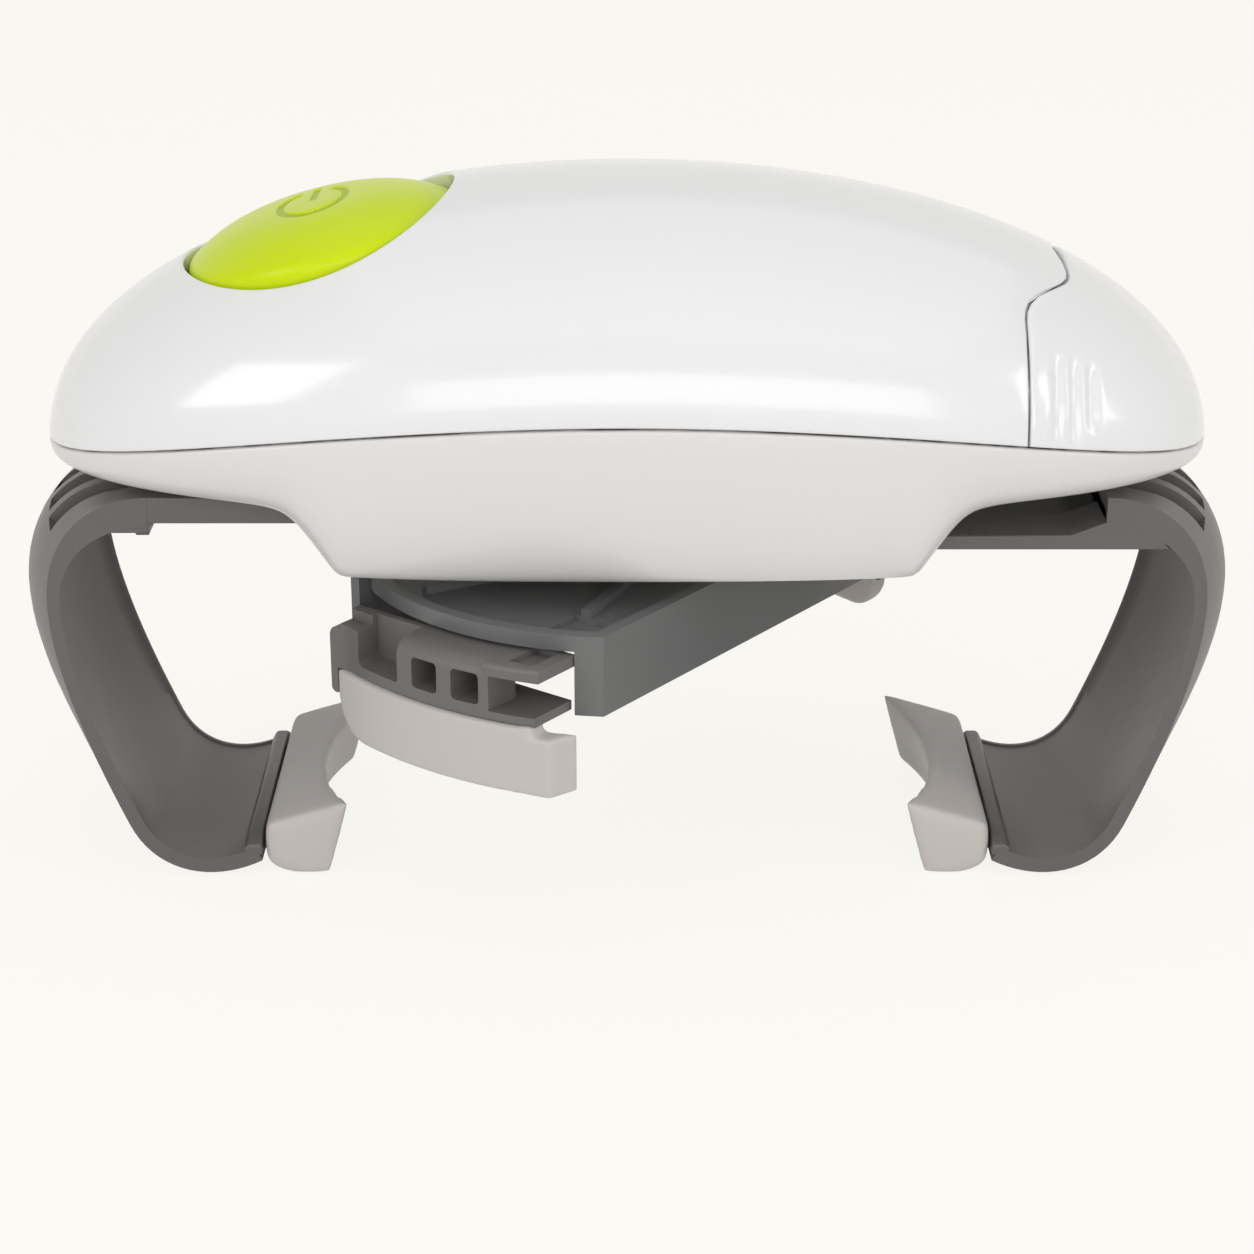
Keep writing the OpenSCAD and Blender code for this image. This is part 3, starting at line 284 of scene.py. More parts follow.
# %% [markdown]
# ## Making meshes
# Most pieces are either a skin over a row of rings, such as the shells and the arms, or a
# block whose outline is pulled up to a height. Both start from lists of points in
# millimetres. A piece may then be carved by another one with a Boolean modifier, and its
# sharp edges are broken with a small Bevel, as every moulded edge is. Rubber is rounder than
# a Bevel can make it, so a pad is made again from small even faces and smoothed.
# Carving leaves long thin faces, which would shade badly on a glossy shell, so a carved skin
# takes back the normals that it had before.

# %% Points to mesh
def mesh_piece(name, points, faces, finish):
    mesh = bpy.data.meshes.new(name)
    mesh.from_pydata([tuple(float(c) * MM for c in p) for p in points], [], faces)
    mesh.validate()
    tidy = bmesh.new()
    tidy.from_mesh(mesh)
    bmesh.ops.recalc_face_normals(tidy, faces=tidy.faces)
    tidy.to_mesh(mesh)
    tidy.free()
    mesh.polygons.foreach_set("use_smooth", [True] * len(mesh.polygons))
    mesh.materials.append(finish)
    piece = bpy.data.objects.new(name, mesh)
    bpy.context.scene.collection.objects.link(piece)
    return piece


def skin(name, rings, finish, caps=True):
    """A skin over rings that all have the same number of points, with a face at each end."""
    n, k = len(rings), len(rings[0])
    points = [p for ring in rings for p in ring]
    faces = [(i * k + j, i * k + (j + 1) % k, (i + 1) * k + (j + 1) % k, (i + 1) * k + j)
             for i in range(n - 1) for j in range(k)]
    if caps:
        faces += [tuple(range(k)), tuple((n - 1) * k + j for j in range(k))]
    return mesh_piece(name, points, faces, finish)


def block(name, outline, low, high, finish):
    """An outline in X and Y, pulled up from one height to another."""
    return skin(name, [[(x, y, z) for x, y in outline] for z in (low, high)], finish)


def side_block(name, outline, y0, y1, finish):
    """An outline in X and Z, pulled along Y."""
    return skin(name, [[(x, y, z) for x, z in outline] for y in (y0, y1)], finish)


def box(name, low, high, finish):
    return block(name, [(low[0], low[1]), (high[0], low[1]), (high[0], high[1]), (low[0], high[1])],
                 low[2], high[2], finish)


print("points can become meshes")


# %% Carving
def settle(piece):
    """Turns a piece's modifiers into plain mesh."""
    graph = bpy.context.evaluated_depsgraph_get()
    mesh = bpy.data.meshes.new_from_object(piece.evaluated_get(graph))
    old = piece.data
    piece.modifiers.clear()
    piece.data = mesh
    bpy.data.meshes.remove(old)
    return piece


def carve(piece, *cutters, join=False):
    """Cuts the cutters out of a piece one after another, or joins them to it."""
    for cutter in cutters:
        cut = piece.modifiers.new("carve", "BOOLEAN")
        cut.operation = "UNION" if join else "DIFFERENCE"
        cut.solver = "EXACT"
        cut.object = cutter
        settle(piece)
        bpy.data.objects.remove(cutter)
    return piece


print("pieces can be carved")


# %% Edge rounding
SHARP = 40


def break_edges(piece, width_mm, segments):
    piece.data.polygons.foreach_set("use_smooth", [True] * len(piece.data.polygons))
    bevel = piece.modifiers.new("broken_edges", "BEVEL")
    bevel.width = width_mm * MM
    bevel.segments = segments
    bevel.limit_method = "ANGLE"
    bevel.angle_limit = math.radians(SHARP)
    bevel.miter_outer = "MITER_ARC"
    bevel.harden_normals = True
    return piece


def soften(piece, voxel_mm, rounds):
    """Makes a solid again from even small faces, and smooths these until its edges are round."""
    remesh = piece.modifiers.new("even_faces", "REMESH")
    remesh.mode = "VOXEL"
    remesh.voxel_size = voxel_mm * MM
    remesh.use_smooth_shade = True
    smooth = piece.modifiers.new("soft_edges", "SMOOTH")
    smooth.factor = 0.5
    smooth.iterations = rounds
    return settle(piece)


print("edges can be broken or softened")


# %% Carving a glossy skin
def keep_curve(piece, uncut):
    """Gives a carved piece the smooth normals that its skin had before it was carved."""
    before = bmesh.new()
    before.from_mesh(uncut)
    before.faces.ensure_lookup_table()
    tree = BVHTree.FromBMesh(before)
    normals = []
    mesh = piece.data
    for face in mesh.polygons:
        for corner in face.loop_indices:
            at = mesh.vertices[mesh.loops[corner].vertex_index].co
            spot, flat, index, away = tree.find_nearest(at)
            if away < 1e-5 and flat.dot(face.normal) > 0.6:
                corners = before.faces[index].verts
                weights = poly_3d_calc([v.co for v in corners], spot)
                normal = sum((v.normal * w for v, w in zip(corners, weights)), Vector())
                normals.append(tuple(normal.normalized()))
            else:
                normals.append(tuple(face.normal))
    before.free()
    mesh.normals_split_custom_set(normals)


def carve_glossy(piece, *cutters):
    uncut = piece.data.copy()
    carve(piece, *cutters)
    keep_curve(piece, uncut)
    bpy.data.meshes.remove(uncut)


print("glossy skins keep their shading when carved")

# %% [markdown]
# ## The body's curves
# From the front the top of the body is half an ellipse, and from above its outline is a
# blunter curve, a superellipse of power 2.5. The seam sags towards the tips as a parabola.
# These few formulas give every point of both shells, so the shells meet by construction.

# %% Sizes of the body
HALF_L, HALF_W, RISE, SEAM_RISE = 85.5, 37.0, 38.6, 10.6
TIP_Z, SEAM_Z, BOSS_Z, TIP_RISE = 65.4, 76.0, 50.8, 3.9
WALL, FLOOR, SEAM_GAP = 2.2, 1.5, 0.35
BOSS_L, FLANK = 41.0, 1.6
WING_BLEND, BOSS_BLEND = 4, 1
PLAN_POWER, SECTION_POWER = 2.5, 1.9
BAR_Z, BAR_H = 56.5, 4.0


def plan_half(x, inset=0.0):
    return (HALF_W - inset) * max(0.0, 1 - abs(x / HALF_L) ** PLAN_POWER) ** (1 / PLAN_POWER)


def seam_height(x):
    return SEAM_Z - SEAM_RISE * (x / HALF_L) ** 2


def crown_height(x, inset=0.0):
    return TIP_Z + (RISE - inset) * math.sqrt(max(0.0, 1 - (x / HALF_L) ** 2))


def soft_min(a, b, size):
    """The lower of two heights, with the corner between them rounded off."""
    return (a + b - math.hypot(a - b, size)) / 2


def soft_max(a, b, size):
    return (a + b + math.hypot(a - b, size)) / 2


def underside(x, inset=0.0):
    wing = TIP_Z - TIP_RISE * max(0.0, 1 - abs(x / HALF_L) ** 4) ** 0.25
    flank = BOSS_Z + FLANK * (abs(x) - BOSS_L + inset)
    return soft_max(BOSS_Z, soft_min(flank, wing, WING_BLEND), BOSS_BLEND)


print("crown at", round(crown_height(0), 1), "mm, boss at", BOSS_Z, "mm")


# %% Points and normals of the upper shell
def upper_point(x, a, inset=0.0):
    """A point of the upper shell at x, at the angle a round the section, from 0 to pi."""
    xi = x * (HALF_L - inset) / HALF_L
    w, h = plan_half(x, inset), crown_height(x, inset) - seam_height(xi)
    side = math.copysign(abs(math.cos(a)) ** (2 / SECTION_POWER), math.cos(a))
    up = max(0.0, math.sin(a)) ** (2 / SECTION_POWER)
    return np.array((xi, w * side, seam_height(xi) + max(0.0, h) * up))


def upper_normal(x, a):
    e = 1e-3
    along = upper_point(x + e, a) - upper_point(x - e, a)
    round_ = upper_point(x, min(math.pi - 1e-6, a + e)) - upper_point(x, max(1e-6, a - e))
    n = np.cross(round_, along)
    size = np.linalg.norm(n)
    return n / size if size > 1e-12 else np.array((0.0, 0.0, 1.0))


print("side of the body at y =", round(float(upper_point(0, 0)[1]), 1), "mm")

# %% [markdown]
# ## Upper housing and battery cover
# Both come from one grid over the upper surface. The grid's last columns follow the split
# between the two pieces, which runs straight up the side and bows out over the crown. Beside
# the split and along the seam the skin rolls inwards with a small radius, as a real moulded
# edge does, so that the parting lines catch the light. The three soft finger grips on the
# cover are dents in the same grid, which keeps them one surface with the cover.

# %% The rows of the grid
EDGE_R = 0.45
ROWS = 56
ROLL = [math.radians(a) for a in (90, 60, 30, 0)]


def row_angle(x, row):
    """Angle of a row round the section at x. The first rows stand close above the seam."""
    h = max(1e-4, crown_height(x) - seam_height(x))
    lift = [min(1.0, h / 4) * EDGE_R * (1 - math.cos(t)) for t in ROLL]
    start = [math.asin(min(1.0, max(0.0, v / h)) ** 0.95) for v in lift[::-1]]
    n = len(start)
    if row < n:
        return start[row]
    if row > ROWS - n:
        return math.pi - start[ROWS - row]
    first = start[-1]
    return first + (math.pi - 2 * first) * (row - n + 1) / (ROWS - 2 * n + 2)


print("grid of", ROWS, "rows")

# %% The split between housing and cover
SPLIT_X, SPLIT_BOW, SPLIT_GAP = 56.0, 7.7, 0.35
PLAIN_Y, BOW_Y = 8, 14


def split_at(y, shift):
    """The split's x at y. The housing's edge dips at the middle, where a thumb pulls the cover."""
    bow = min(1.0, max(0.0, (abs(y) - PLAIN_Y) / BOW_Y))
    dip = math.exp(-(y / 5.5) ** 2) if shift < 0 else 0.0
    return SPLIT_X + shift - dip + SPLIT_BOW * (1 + math.cos(math.pi * bow)) / 2


def split_x(row, shift):
    """The split's x on a row, found by moving half of the way to it again and again."""
    x = SPLIT_X
    for _ in range(40):
        x = 0.5 * x + 0.5 * split_at(upper_point(x, row_angle(x, row))[1], shift)
    return x


print("split at x =", round(float(split_x(0, 0.0)), 1), "on the side and",
      round(float(split_x(ROWS // 2, 0.0)), 1), "on the crown")

# %% Soft dents for the finger grips
GRIPS = ((60.0, 73.2, 81.2), (62.5, 72.6, 80.6), (65.0, 74.0, 79.8))
GRIP_DEEP, GRIP_SOFT = 0.75, 0.75


def grip_dent(p):
    """How far a point of the cover's side sinks. Each grip stands at an x, from low to high."""
    dent = 0.0
    for x, low, high in GRIPS:
        reach = max(0.0, low - p[2], p[2] - high)
        away = math.hypot(p[0] - x, reach)
        dent += GRIP_DEEP * math.exp(-(away / GRIP_SOFT) ** 2)
    return dent if abs(p[1]) > 10 else 0.0


print(len(GRIPS), "grips on each side")


# %% Rings of one piece of the upper shell
def shell_ring(x_of_row, roll_in=0.0, dents=False):
    """One ring: the outer skin from seam to seam, then the inner one back."""
    outer, inside = [], []
    for row in range(ROWS + 1):
        x = x_of_row(row)
        a = row_angle(x, row)
        p, n = upper_point(x, a), upper_normal(x, a)
        edge = min(row, ROWS - row)
        small = min(1.0, max(0.05, (crown_height(x) - seam_height(x)) / 4))
        if edge < len(ROLL):
            seam_in = EDGE_R * small * (1 - math.sin(ROLL[::-1][edge]))
        else:
            seam_in = 0.0
        if dents:
            seam_in += grip_dent(p)
        outer.append(p - n * max(seam_in, roll_in))
        inside.append(upper_point(x, a, WALL))
    return outer + inside[::-1]


print("a ring has", len(shell_ring(lambda row: 0.0)), "points")

# %% Skin of the upper housing
TIP_STEPS = [0.35, 0.8, 1.5, 2.4, 3.6, 5.2, 7.2, 9.5]
TIP_END = 12
HOUSING_RINGS, COVER_RINGS = 78, 60


def housing_rings():
    """Rings at the tip's own steps, then spread up to the split, then rolled in beside it."""
    rings = []
    ends = [split_x(row, -SPLIT_GAP) for row in range(ROWS + 1)]
    turns = [math.acos(e / HALF_L) for e in ends]
    for deg in TIP_STEPS:
        rings.append(shell_ring(lambda row: -HALF_L * math.cos(math.radians(deg))))
    first = math.radians(180 - TIP_END)
    for i in range(HOUSING_RINGS):
        t = i / HOUSING_RINGS
        rings.append(shell_ring(lambda row: HALF_L * math.cos(first + (turns[row] - first) * t)
                                - EDGE_R * t))
    for t in ROLL[::-1]:
        rings.append(shell_ring(lambda row: ends[row] - EDGE_R * (1 - math.sin(t)),
                                EDGE_R * (1 - math.cos(t))))
    return rings


upper = skin("upper_shell", housing_rings(), shell_white)
print("upper shell:", len(upper.data.polygons), "faces")

# %% [markdown]
# The button sits in a round hole whose axis leans towards the left tip. The hole is carved
# with a plain cylinder, a little too wide, and a separate ring then forms the rolled rim and
# the collar below it. The ring follows the crown, whose height over the button is found for
# each direction by halving a range again and again.

# %% The button's own frame, and where its rays meet the crown
BUTTON_X, BUTTON_UP, LEAN = -44.6, 29.6, math.radians(13.7)
BUTTON_R, BUTTON_GAP, COLLAR = 20.2, 0.45, 1.6
button_frame = (Matrix.Translation(Vector((BUTTON_X, 0, TIP_Z + BUTTON_UP)))
                @ Matrix.Rotation(-LEAN, 4, "Y"))


def from_button(r, turn, n):
    """The point at radius r, turned round the button's axis, and n along it."""
    return np.array(button_frame @ Vector((r * math.cos(turn), r * math.sin(turn), n)))


def above_crown(p):
    w, h = plan_half(p[0]), crown_height(p[0]) - seam_height(p[0])
    up = max(0.0, p[2] - seam_height(p[0]))
    return (abs(p[1]) / w) ** SECTION_POWER + (up / h) ** SECTION_POWER - 1


def crown_along(r, turn):
    low, high = -18.0, 12.0
    for _ in range(40):
        mid = (low + high) / 2
        low, high = (mid, high) if above_crown(from_button(r, turn, mid)) < 0 else (low, mid)
    return (low + high) / 2


print("crown at the button's axis:", round(crown_along(0, 0), 2), "mm")

# %% Carve the hole
HOLE_R = BUTTON_R + BUTTON_GAP
POST_SIDES, POST_REACH, POST_SPARE = 128, 16, 0.9

turns_round = [2 * math.pi * j / POST_SIDES for j in range(POST_SIDES)]
post = skin("hole_cutter", [[from_button(HOLE_R + POST_SPARE, turn, n) for turn in turns_round]
                            for n in (-POST_REACH, POST_REACH)], shell_white)
carve_glossy(upper, post)
print("hole of", 2 * HOLE_R, "mm carved")

# %% The hole's rolled rim
RIM_SIDES, HOLE_ROLL = 144, 0.55


def on_crown(d, turn, drop):
    """A point d outside the hole's wall, drop below the crown."""
    return from_button(HOLE_R + d, turn, crown_along(HOLE_R + d, turn) - drop)


def rim_rings():
    rings = []
    for j in range(RIM_SIDES):
        turn = 2 * math.pi * j / RIM_SIDES
        ring = [on_crown(d, turn, drop) for d, drop in ((1.3, 0.05), (0.9, 0.004), (0.7, 0.0))]
        ring += [on_crown(HOLE_ROLL * (1 - math.sin(t)), turn, HOLE_ROLL * (1 - math.cos(t)))
                 for t in map(math.radians, (20, 40, 60, 80, 90))]
        bottom = min(-9.0, crown_along(HOLE_R, turn) - 2.6)
        ring += [from_button(HOLE_R, turn, bottom), from_button(HOLE_R + COLLAR, turn, bottom),
                 on_crown(COLLAR, turn, 1.0)]
        rings.append(ring)
    return rings


rings = rim_rings()
rim = skin("button_hole_rim", rings + rings[:1], shell_white, caps=False)
print("rim made of", len(rim.data.polygons), "faces")

# %% Battery cover
def cover_rings():
    starts = [split_x(row, 0.0) for row in range(ROWS + 1)]
    turns = [math.acos(min(1, s / HALF_L)) for s in starts]
    rings = []
    for t in ROLL:
        rings.append(shell_ring(lambda row: starts[row] + EDGE_R * (1 - math.sin(t)),
                                EDGE_R * (1 - math.cos(t)), dents=True))
    last = math.radians(TIP_END)
    for i in range(1, COVER_RINGS + 1):
        t = i / COVER_RINGS
        rings.append(shell_ring(lambda row: HALF_L * math.cos(turns[row] + (last - turns[row]) * t)
                                + EDGE_R * (1 - t), dents=True))
    for deg in TIP_STEPS[::-1]:
        rings.append(shell_ring(lambda row: HALF_L * math.cos(math.radians(deg))))
    return rings


cover = skin("battery_cover_skin", cover_rings(), shell_white)
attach(upper, "body")
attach(rim, "body")
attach(cover, "cover")
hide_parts("upper_housing")
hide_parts("battery_cover")
print("cover:", len(cover.data.polygons), "faces")

# %% [markdown]
# ## Lower housing
# The lower shell is a loft as well. Its sections are a quarter ellipse on each side of a flat
# bottom, and the bottom drops from the wings to a boss in the middle. The arms slide through
# a slot in each flank of the boss.

# %% Sections of the lower shell
LOWER_ROLL, FLAT_SHARE, SIDE_STEPS = 0.4, 0.78, 16


def lower_section(x, inset):
    """Half an open section, from the seam down to the flat bottom, and its mirror image."""
    xi = x * (HALF_L - inset) / HALF_L
    w = plan_half(x, inset)
    flat = FLAT_SHARE * w
    top = seam_height(xi) - SEAM_GAP
    low = underside(x, inset) + (FLOOR if inset else 0)
    deep = max(0.02, top - low)
    r = min(LOWER_ROLL, deep / 4, w / 4)
    side = [(w - r * (1 - math.sin(t)), top - r * (1 - math.cos(t)))
            for t in map(math.radians, (0, 30, 60, 90))]
    first = math.asin(min(0.9, r / deep))
    for j in range(1, SIDE_STEPS):
        a = first + (math.pi / 2 - first) * j / (SIDE_STEPS - 1)
        side.append((flat + (w - flat) * math.cos(a), top - deep * math.sin(a)))
    half = [(xi, y, z) for y, z in side + [(flat * k, low) for k in (0.66, 0.33)]]
    return half + [(xi, 0.0, low)] + [(xi, -y, z) for _, y, z in half[::-1]]


def lower_ring(x):
    return lower_section(x, 0.0) + lower_section(x, WALL)[::-1]


print("bottom", round(plan_half(0) * FLAT_SHARE * 2, 1), "mm wide where it is flat")


# %% Lower shell
def lower_stations():
    far = [HALF_L * math.cos(math.radians(a)) for a in TIP_STEPS + list(range(TIP_END, 40, 3))]
    near = list(np.arange(65.5, 34, -0.75)) + [30, 24, 18, 12, 6]
    half = far + near
    return [-x for x in half] + [0.0] + half[::-1]


SLOT_Y, SLOT_X, SLOT_ROOM = 21.4, (31.0, 58.0), 0.5


def arm_slot(x0, x1):
    return box("slot_cutter", (x0, -SLOT_Y, BOSS_Z + FLOOR - 0.1),
               (x1, SLOT_Y, BAR_Z + BAR_H + SLOT_ROOM), base_white)


lower = skin("lower_shell", [lower_ring(x) for x in lower_stations()], base_white)
carve_glossy(lower, arm_slot(-SLOT_X[1], -SLOT_X[0]), arm_slot(*SLOT_X))
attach(lower, "body")
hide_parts("lower_housing")
print("lower shell:", len(lower.data.polygons), "faces")

# %% [markdown]
# ## Power button
# The button is a shallow dome with a rounded rim and a skirt. Its on and off mark is sunk
# into the dome: a ring with a gap and a short bar. The mark could be a bump in the material,
# but a bump has no outline of its own, so the dome is a fine polar grid whose points drop
# where they lie near the mark.

# %% The sunk mark
MARK_R, MARK_W, MARK_DEEP, MARK_LONG = 4.9, 0.52, 0.42, 1.35
MARK_GAP, MARK_EDGE = math.radians(32), 0.09
MARK_SHIFT, MARK_REACH = 0.8, 9.5


def mark_depth(x, y):
    """Depth of the sunk mark at x, y on the dome; the bar points to +Y."""
    v = (y + MARK_SHIFT) / MARK_LONG
    if abs(math.atan2(x, v)) > MARK_GAP:
        ring = abs(math.hypot(x, v) - MARK_R)
    else:
        ring = math.hypot(abs(x) - MARK_R * math.sin(MARK_GAP), v - MARK_R * math.cos(MARK_GAP))
    bar = math.hypot(x, max(0.0, 0.6 - v, v - MARK_R - 0.4))
    return MARK_DEEP / (1 + math.exp((min(ring, bar) - MARK_W) / MARK_EDGE))


print("mark", round(2 * MARK_R * MARK_LONG, 1), "mm long and", MARK_DEEP, "mm deep")

# %% Dome, rim and skirt
RIM_N, DOME, RIM_ROUND, SKIRT, CAP = -0.6, 4.8, 2.2, 7.0, 1.8
RIM_SLOPE = math.radians(32)


def dome(r):
    return RIM_N + DOME * (1 - (r / BUTTON_R) ** 3)


def button_profile():
    """Radius and height of the cap's outside from the middle out, then of its inside back."""
    edge = BUTTON_R - RIM_ROUND * (1 - math.sin(RIM_SLOPE))
    radii = list(np.linspace(0.15, 8.4, 56)) + list(np.linspace(9.0, edge, 16))
    centre = dome(edge) - RIM_ROUND * math.cos(RIM_SLOPE)
    roll = [(BUTTON_R - RIM_ROUND + RIM_ROUND * math.sin(a), centre + RIM_ROUND * math.cos(a))
            for a in np.linspace(RIM_SLOPE, math.pi / 2, 9)[1:]]
    outside = [(r, dome(r)) for r in radii] + roll + [(BUTTON_R, -SKIRT)]
    inner_r = BUTTON_R - CAP
    inside = [(inner_r, -SKIRT)] + [(r, dome(r * BUTTON_R / inner_r) - CAP)
                                    for r in np.linspace(inner_r, 0.15, 12)]
    return outside + inside


def near_mark(r, n):
    return n > RIM_N + 2 and r < MARK_REACH


def button_rings(sides=240):
    rings = []
    for r, n in button_profile():
        outside = near_mark(r, n) and abs(n - dome(r)) < 1e-6
        ring = []
        for j in range(sides):
            a = 2 * math.pi * j / sides
            sunk = mark_depth(r * math.cos(a), r * math.sin(a)) if outside else 0.0
            ring.append(from_button(r, a, n - sunk))
        rings.append(ring)
    return rings


button = skin("power_button_cap", button_rings(), button_lime)
print("button:", len(button.data.polygons), "faces")

# %% Paint the mark
button.data.materials.append(mark_lime)
to_button = button_frame.inverted()
for face in button.data.polygons:
    here = to_button @ (face.center / MM)
    if near_mark(here.xy.length, here.z) and mark_depth(here.x, here.y) > MARK_DEEP / 2:
        face.material_index = 1
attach(button, "button")
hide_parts("power_button")
print(sum(face.material_index for face in button.data.polygons), "faces in the mark")

# %% [markdown]
# ## Arms
# Each arm is a thin curved shell. Its inner edge follows three Bezier curves joined end to
# end: round the top bend, down the side, and round the foot. Across its width it bulges
# outwards. The bend is thick, and blind slots core it out, which is how a moulder keeps the
# wall even. Both arms are the same piece, one turned by half a turn.

# %% Curves of the arm
ARM_W, ARM_OUT, ARM_BEND, ARM_T, FOOT_T, BULGE, FOOT = 42.0, 82.6, 69.0, 1.8, 2.4, 6.2, 56.1
ARM_IN_Z = BAR_Z - 0.5
HEEL = ARM_OUT - 10
ARM_CURVES = [
    [(ARM_BEND, ARM_IN_Z), (ARM_BEND + 8, ARM_IN_Z),
     (ARM_OUT + 0.1, ARM_IN_Z - 5), (ARM_OUT, ARM_IN_Z - 12.5)],
    [(ARM_OUT, ARM_IN_Z - 12.5), (ARM_OUT - 0.2, ARM_IN_Z - 23), (HEEL + 3.9, 18), (HEEL, 9.2)],
    [(HEEL, 9.2), (HEEL - 3.1, 2.4), (FOOT + 6.4, 1.4), (FOOT, 4.7)],
]


def bezier(curve, t):
    """A point of a Bezier curve, and the direction in which the curve runs there."""
    a, b, c, d = (np.array(q, float) for q in curve)
    u = 1 - t
    point = u ** 3 * a + 3 * t * u ** 2 * b + 3 * t * t * u * c + t ** 3 * d
    way = 3 * u ** 2 * (b - a) + 6 * t * u * (c - b) + 3 * t * t * (d - c)
    return point, way / np.linalg.norm(way)


print("foot at", FOOT, "mm from the middle")

# %% Rings of the arm, from 0 at the top of the bend to 3 at the end of the foot
EDGE_BAND, EDGE_STEP = 0.96, 0.3
HALF_ACROSS = [0.0, 0.12, 0.24, 0.36, 0.48, 0.6, 0.72, 0.84, 0.955, 0.97, 1.0]
ACROSS = [-v for v in HALF_ACROSS[:0:-1]] + HALF_ACROSS


def arm_wall(s):
    thick = BAR_Z + BAR_H - ARM_IN_Z
    if s < 1:
        return ARM_T + (thick - ARM_T) * (1 + math.cos(math.pi * s)) / 2
    return ARM_T + (FOOT_T - ARM_T) * (s - 1) / 2


def arm_swell(s):
    """How far the arm bulges outwards in the middle of its width."""
    return 0.0 if s < 0.15 or s > 2.1 else BULGE * math.sin(math.pi * (s - 0.15) / 1.95)


def arm_ring(s):
    """A ring across the arm. Inside, a thin band along each edge stands proud."""
    curve = min(2, int(s))
    p, way = bezier(ARM_CURVES[curve], s - curve)
    out = np.array((-way[1], way[0]))
    swell = arm_swell(s)
    step = EDGE_STEP * min(1.0, max(0.0, s - 0.5) * 2)

    def at(v, depth):
        x, z = p + out * depth
        return (-x, v * ARM_W / 2, z)

    outer = [at(v, arm_wall(s) + swell * (1 - v * v)) for v in ACROSS]
    inner = [at(v, swell * 0.85 * (1 - v * v) + (step if abs(v) < EDGE_BAND else 0.0))
             for v in ACROSS[::-1]]
    return outer + inner


print("wall", [round(arm_wall(s), 1) for s in (0, 1, 2, 3)], "mm thick from bend to foot")

# %% Slots in the bend
SLOTS, SLOT_PITCH, SLOT_W = 5, 6.6, 4.4
SLOT_STEPS, SLOT_FLOOR = 24, 15.1


def slot_cutter(k):
    """A cutter swept round the bend. Its floor follows the bulge, so that the slot stays blind."""
    off_middle = (k - 2) * SLOT_PITCH * 2 / ARM_W
    y0 = (k - 2) * SLOT_PITCH - SLOT_W / 2
    rings = []
    for j in range(SLOT_STEPS + 1):
        a = math.radians(96 + 50 * j / SLOT_STEPS)
        low = SLOT_FLOOR + 0.87 * arm_swell(0.12 + 0.5 * j / SLOT_STEPS) * (1 - off_middle * off_middle)
        rings.append([(-ARM_BEND + r * math.cos(a), y, ARM_IN_Z - 13 + r * math.sin(a))
                      for r, y in ((low, y0), (30, y0), (30, y0 + SLOT_W), (low, y0 + SLOT_W))])
    return skin("slot_cutter", rings, arm_grey)


def arm_shell(side):
    shell = skin(side + "_arm_shell", [arm_ring(i / 18) for i in range(55)], arm_grey)
    for k in range(SLOTS):
        carve(shell, slot_cutter(k))
    return shell


print(SLOTS, "slots,", SLOT_W, "mm wide")


# %% Rack, guide and tray
def rack_outline(x0, x1, strip, module=1.0, backlash=0.04):
    """A strip along X with gear teeth on its +Y side, whose tooth flanks lean by 25 degrees."""
    pitch, tip, root = math.pi * module, 0.95 * module, 1.2 * module
    lean, half = math.tan(math.radians(25)), math.pi * module / 4 - backlash
    points = [(x0, -strip), (x0, -root)]
    for i in range(math.ceil(x0 / pitch - 0.2), math.floor(x1 / pitch - 0.8) + 1):
        c = (i + 0.5) * pitch
        points += [(c - half - root * lean, -root), (c - half + tip * lean, tip),
                   (c + half - tip * lean, tip), (c + half + root * lean, -root)]
    return points + [(x1, -root), (x1, -strip)]


GUIDE_Z, GUIDE_T, GUIDE_IN, GUIDE_W = 52.5, 1.9, 10.0, 9.5
HALF_ARM = ARM_W / 2
RACK_Y, RACK_ENDS = 14.0, (-44, 8)


def arm_slide(side):
    """The pieces that run inside the body, each with the width of its broken edges."""
    bar = block(side + "_arm_rack", [(x, y - RACK_Y) for x, y in rack_outline(*RACK_ENDS, 7.0)],
                BAR_Z, BAR_Z + BAR_H, arm_grey)
    strap = box(side + "_arm_strap", (-ARM_BEND - 1, -HALF_ARM + 0.05, BAR_Z + 0.02),
                (-43.5, -15.2, BAR_Z + BAR_H - 0.02), arm_grey)
    guide = side_block(side + "_arm_guide", [
        (-GUIDE_IN, GUIDE_Z), (-GUIDE_IN, GUIDE_Z + GUIDE_T), (-ARM_BEND + 5, GUIDE_Z + GUIDE_T + 0.4),
        (-ARM_BEND - 1, BAR_Z + 0.6), (-ARM_BEND - 5, BAR_Z + 1.6), (-ARM_BEND - 9.6, GUIDE_Z),
        (-ARM_BEND + 4, GUIDE_Z)], HALF_ARM - GUIDE_W, HALF_ARM - 0.05, arm_grey)
    tray = box(side + "_arm_tray", (-ARM_BEND - 1, -8.0, GUIDE_Z + 0.1), (-48, 12, GUIDE_Z + 1.3),
               arm_grey)
    return [(bar, 0.15), (strap, 0.25), (guide, 0.3), (tray, 0.2)]


print("rack", RACK_ENDS[1] - RACK_ENDS[0], "mm long")


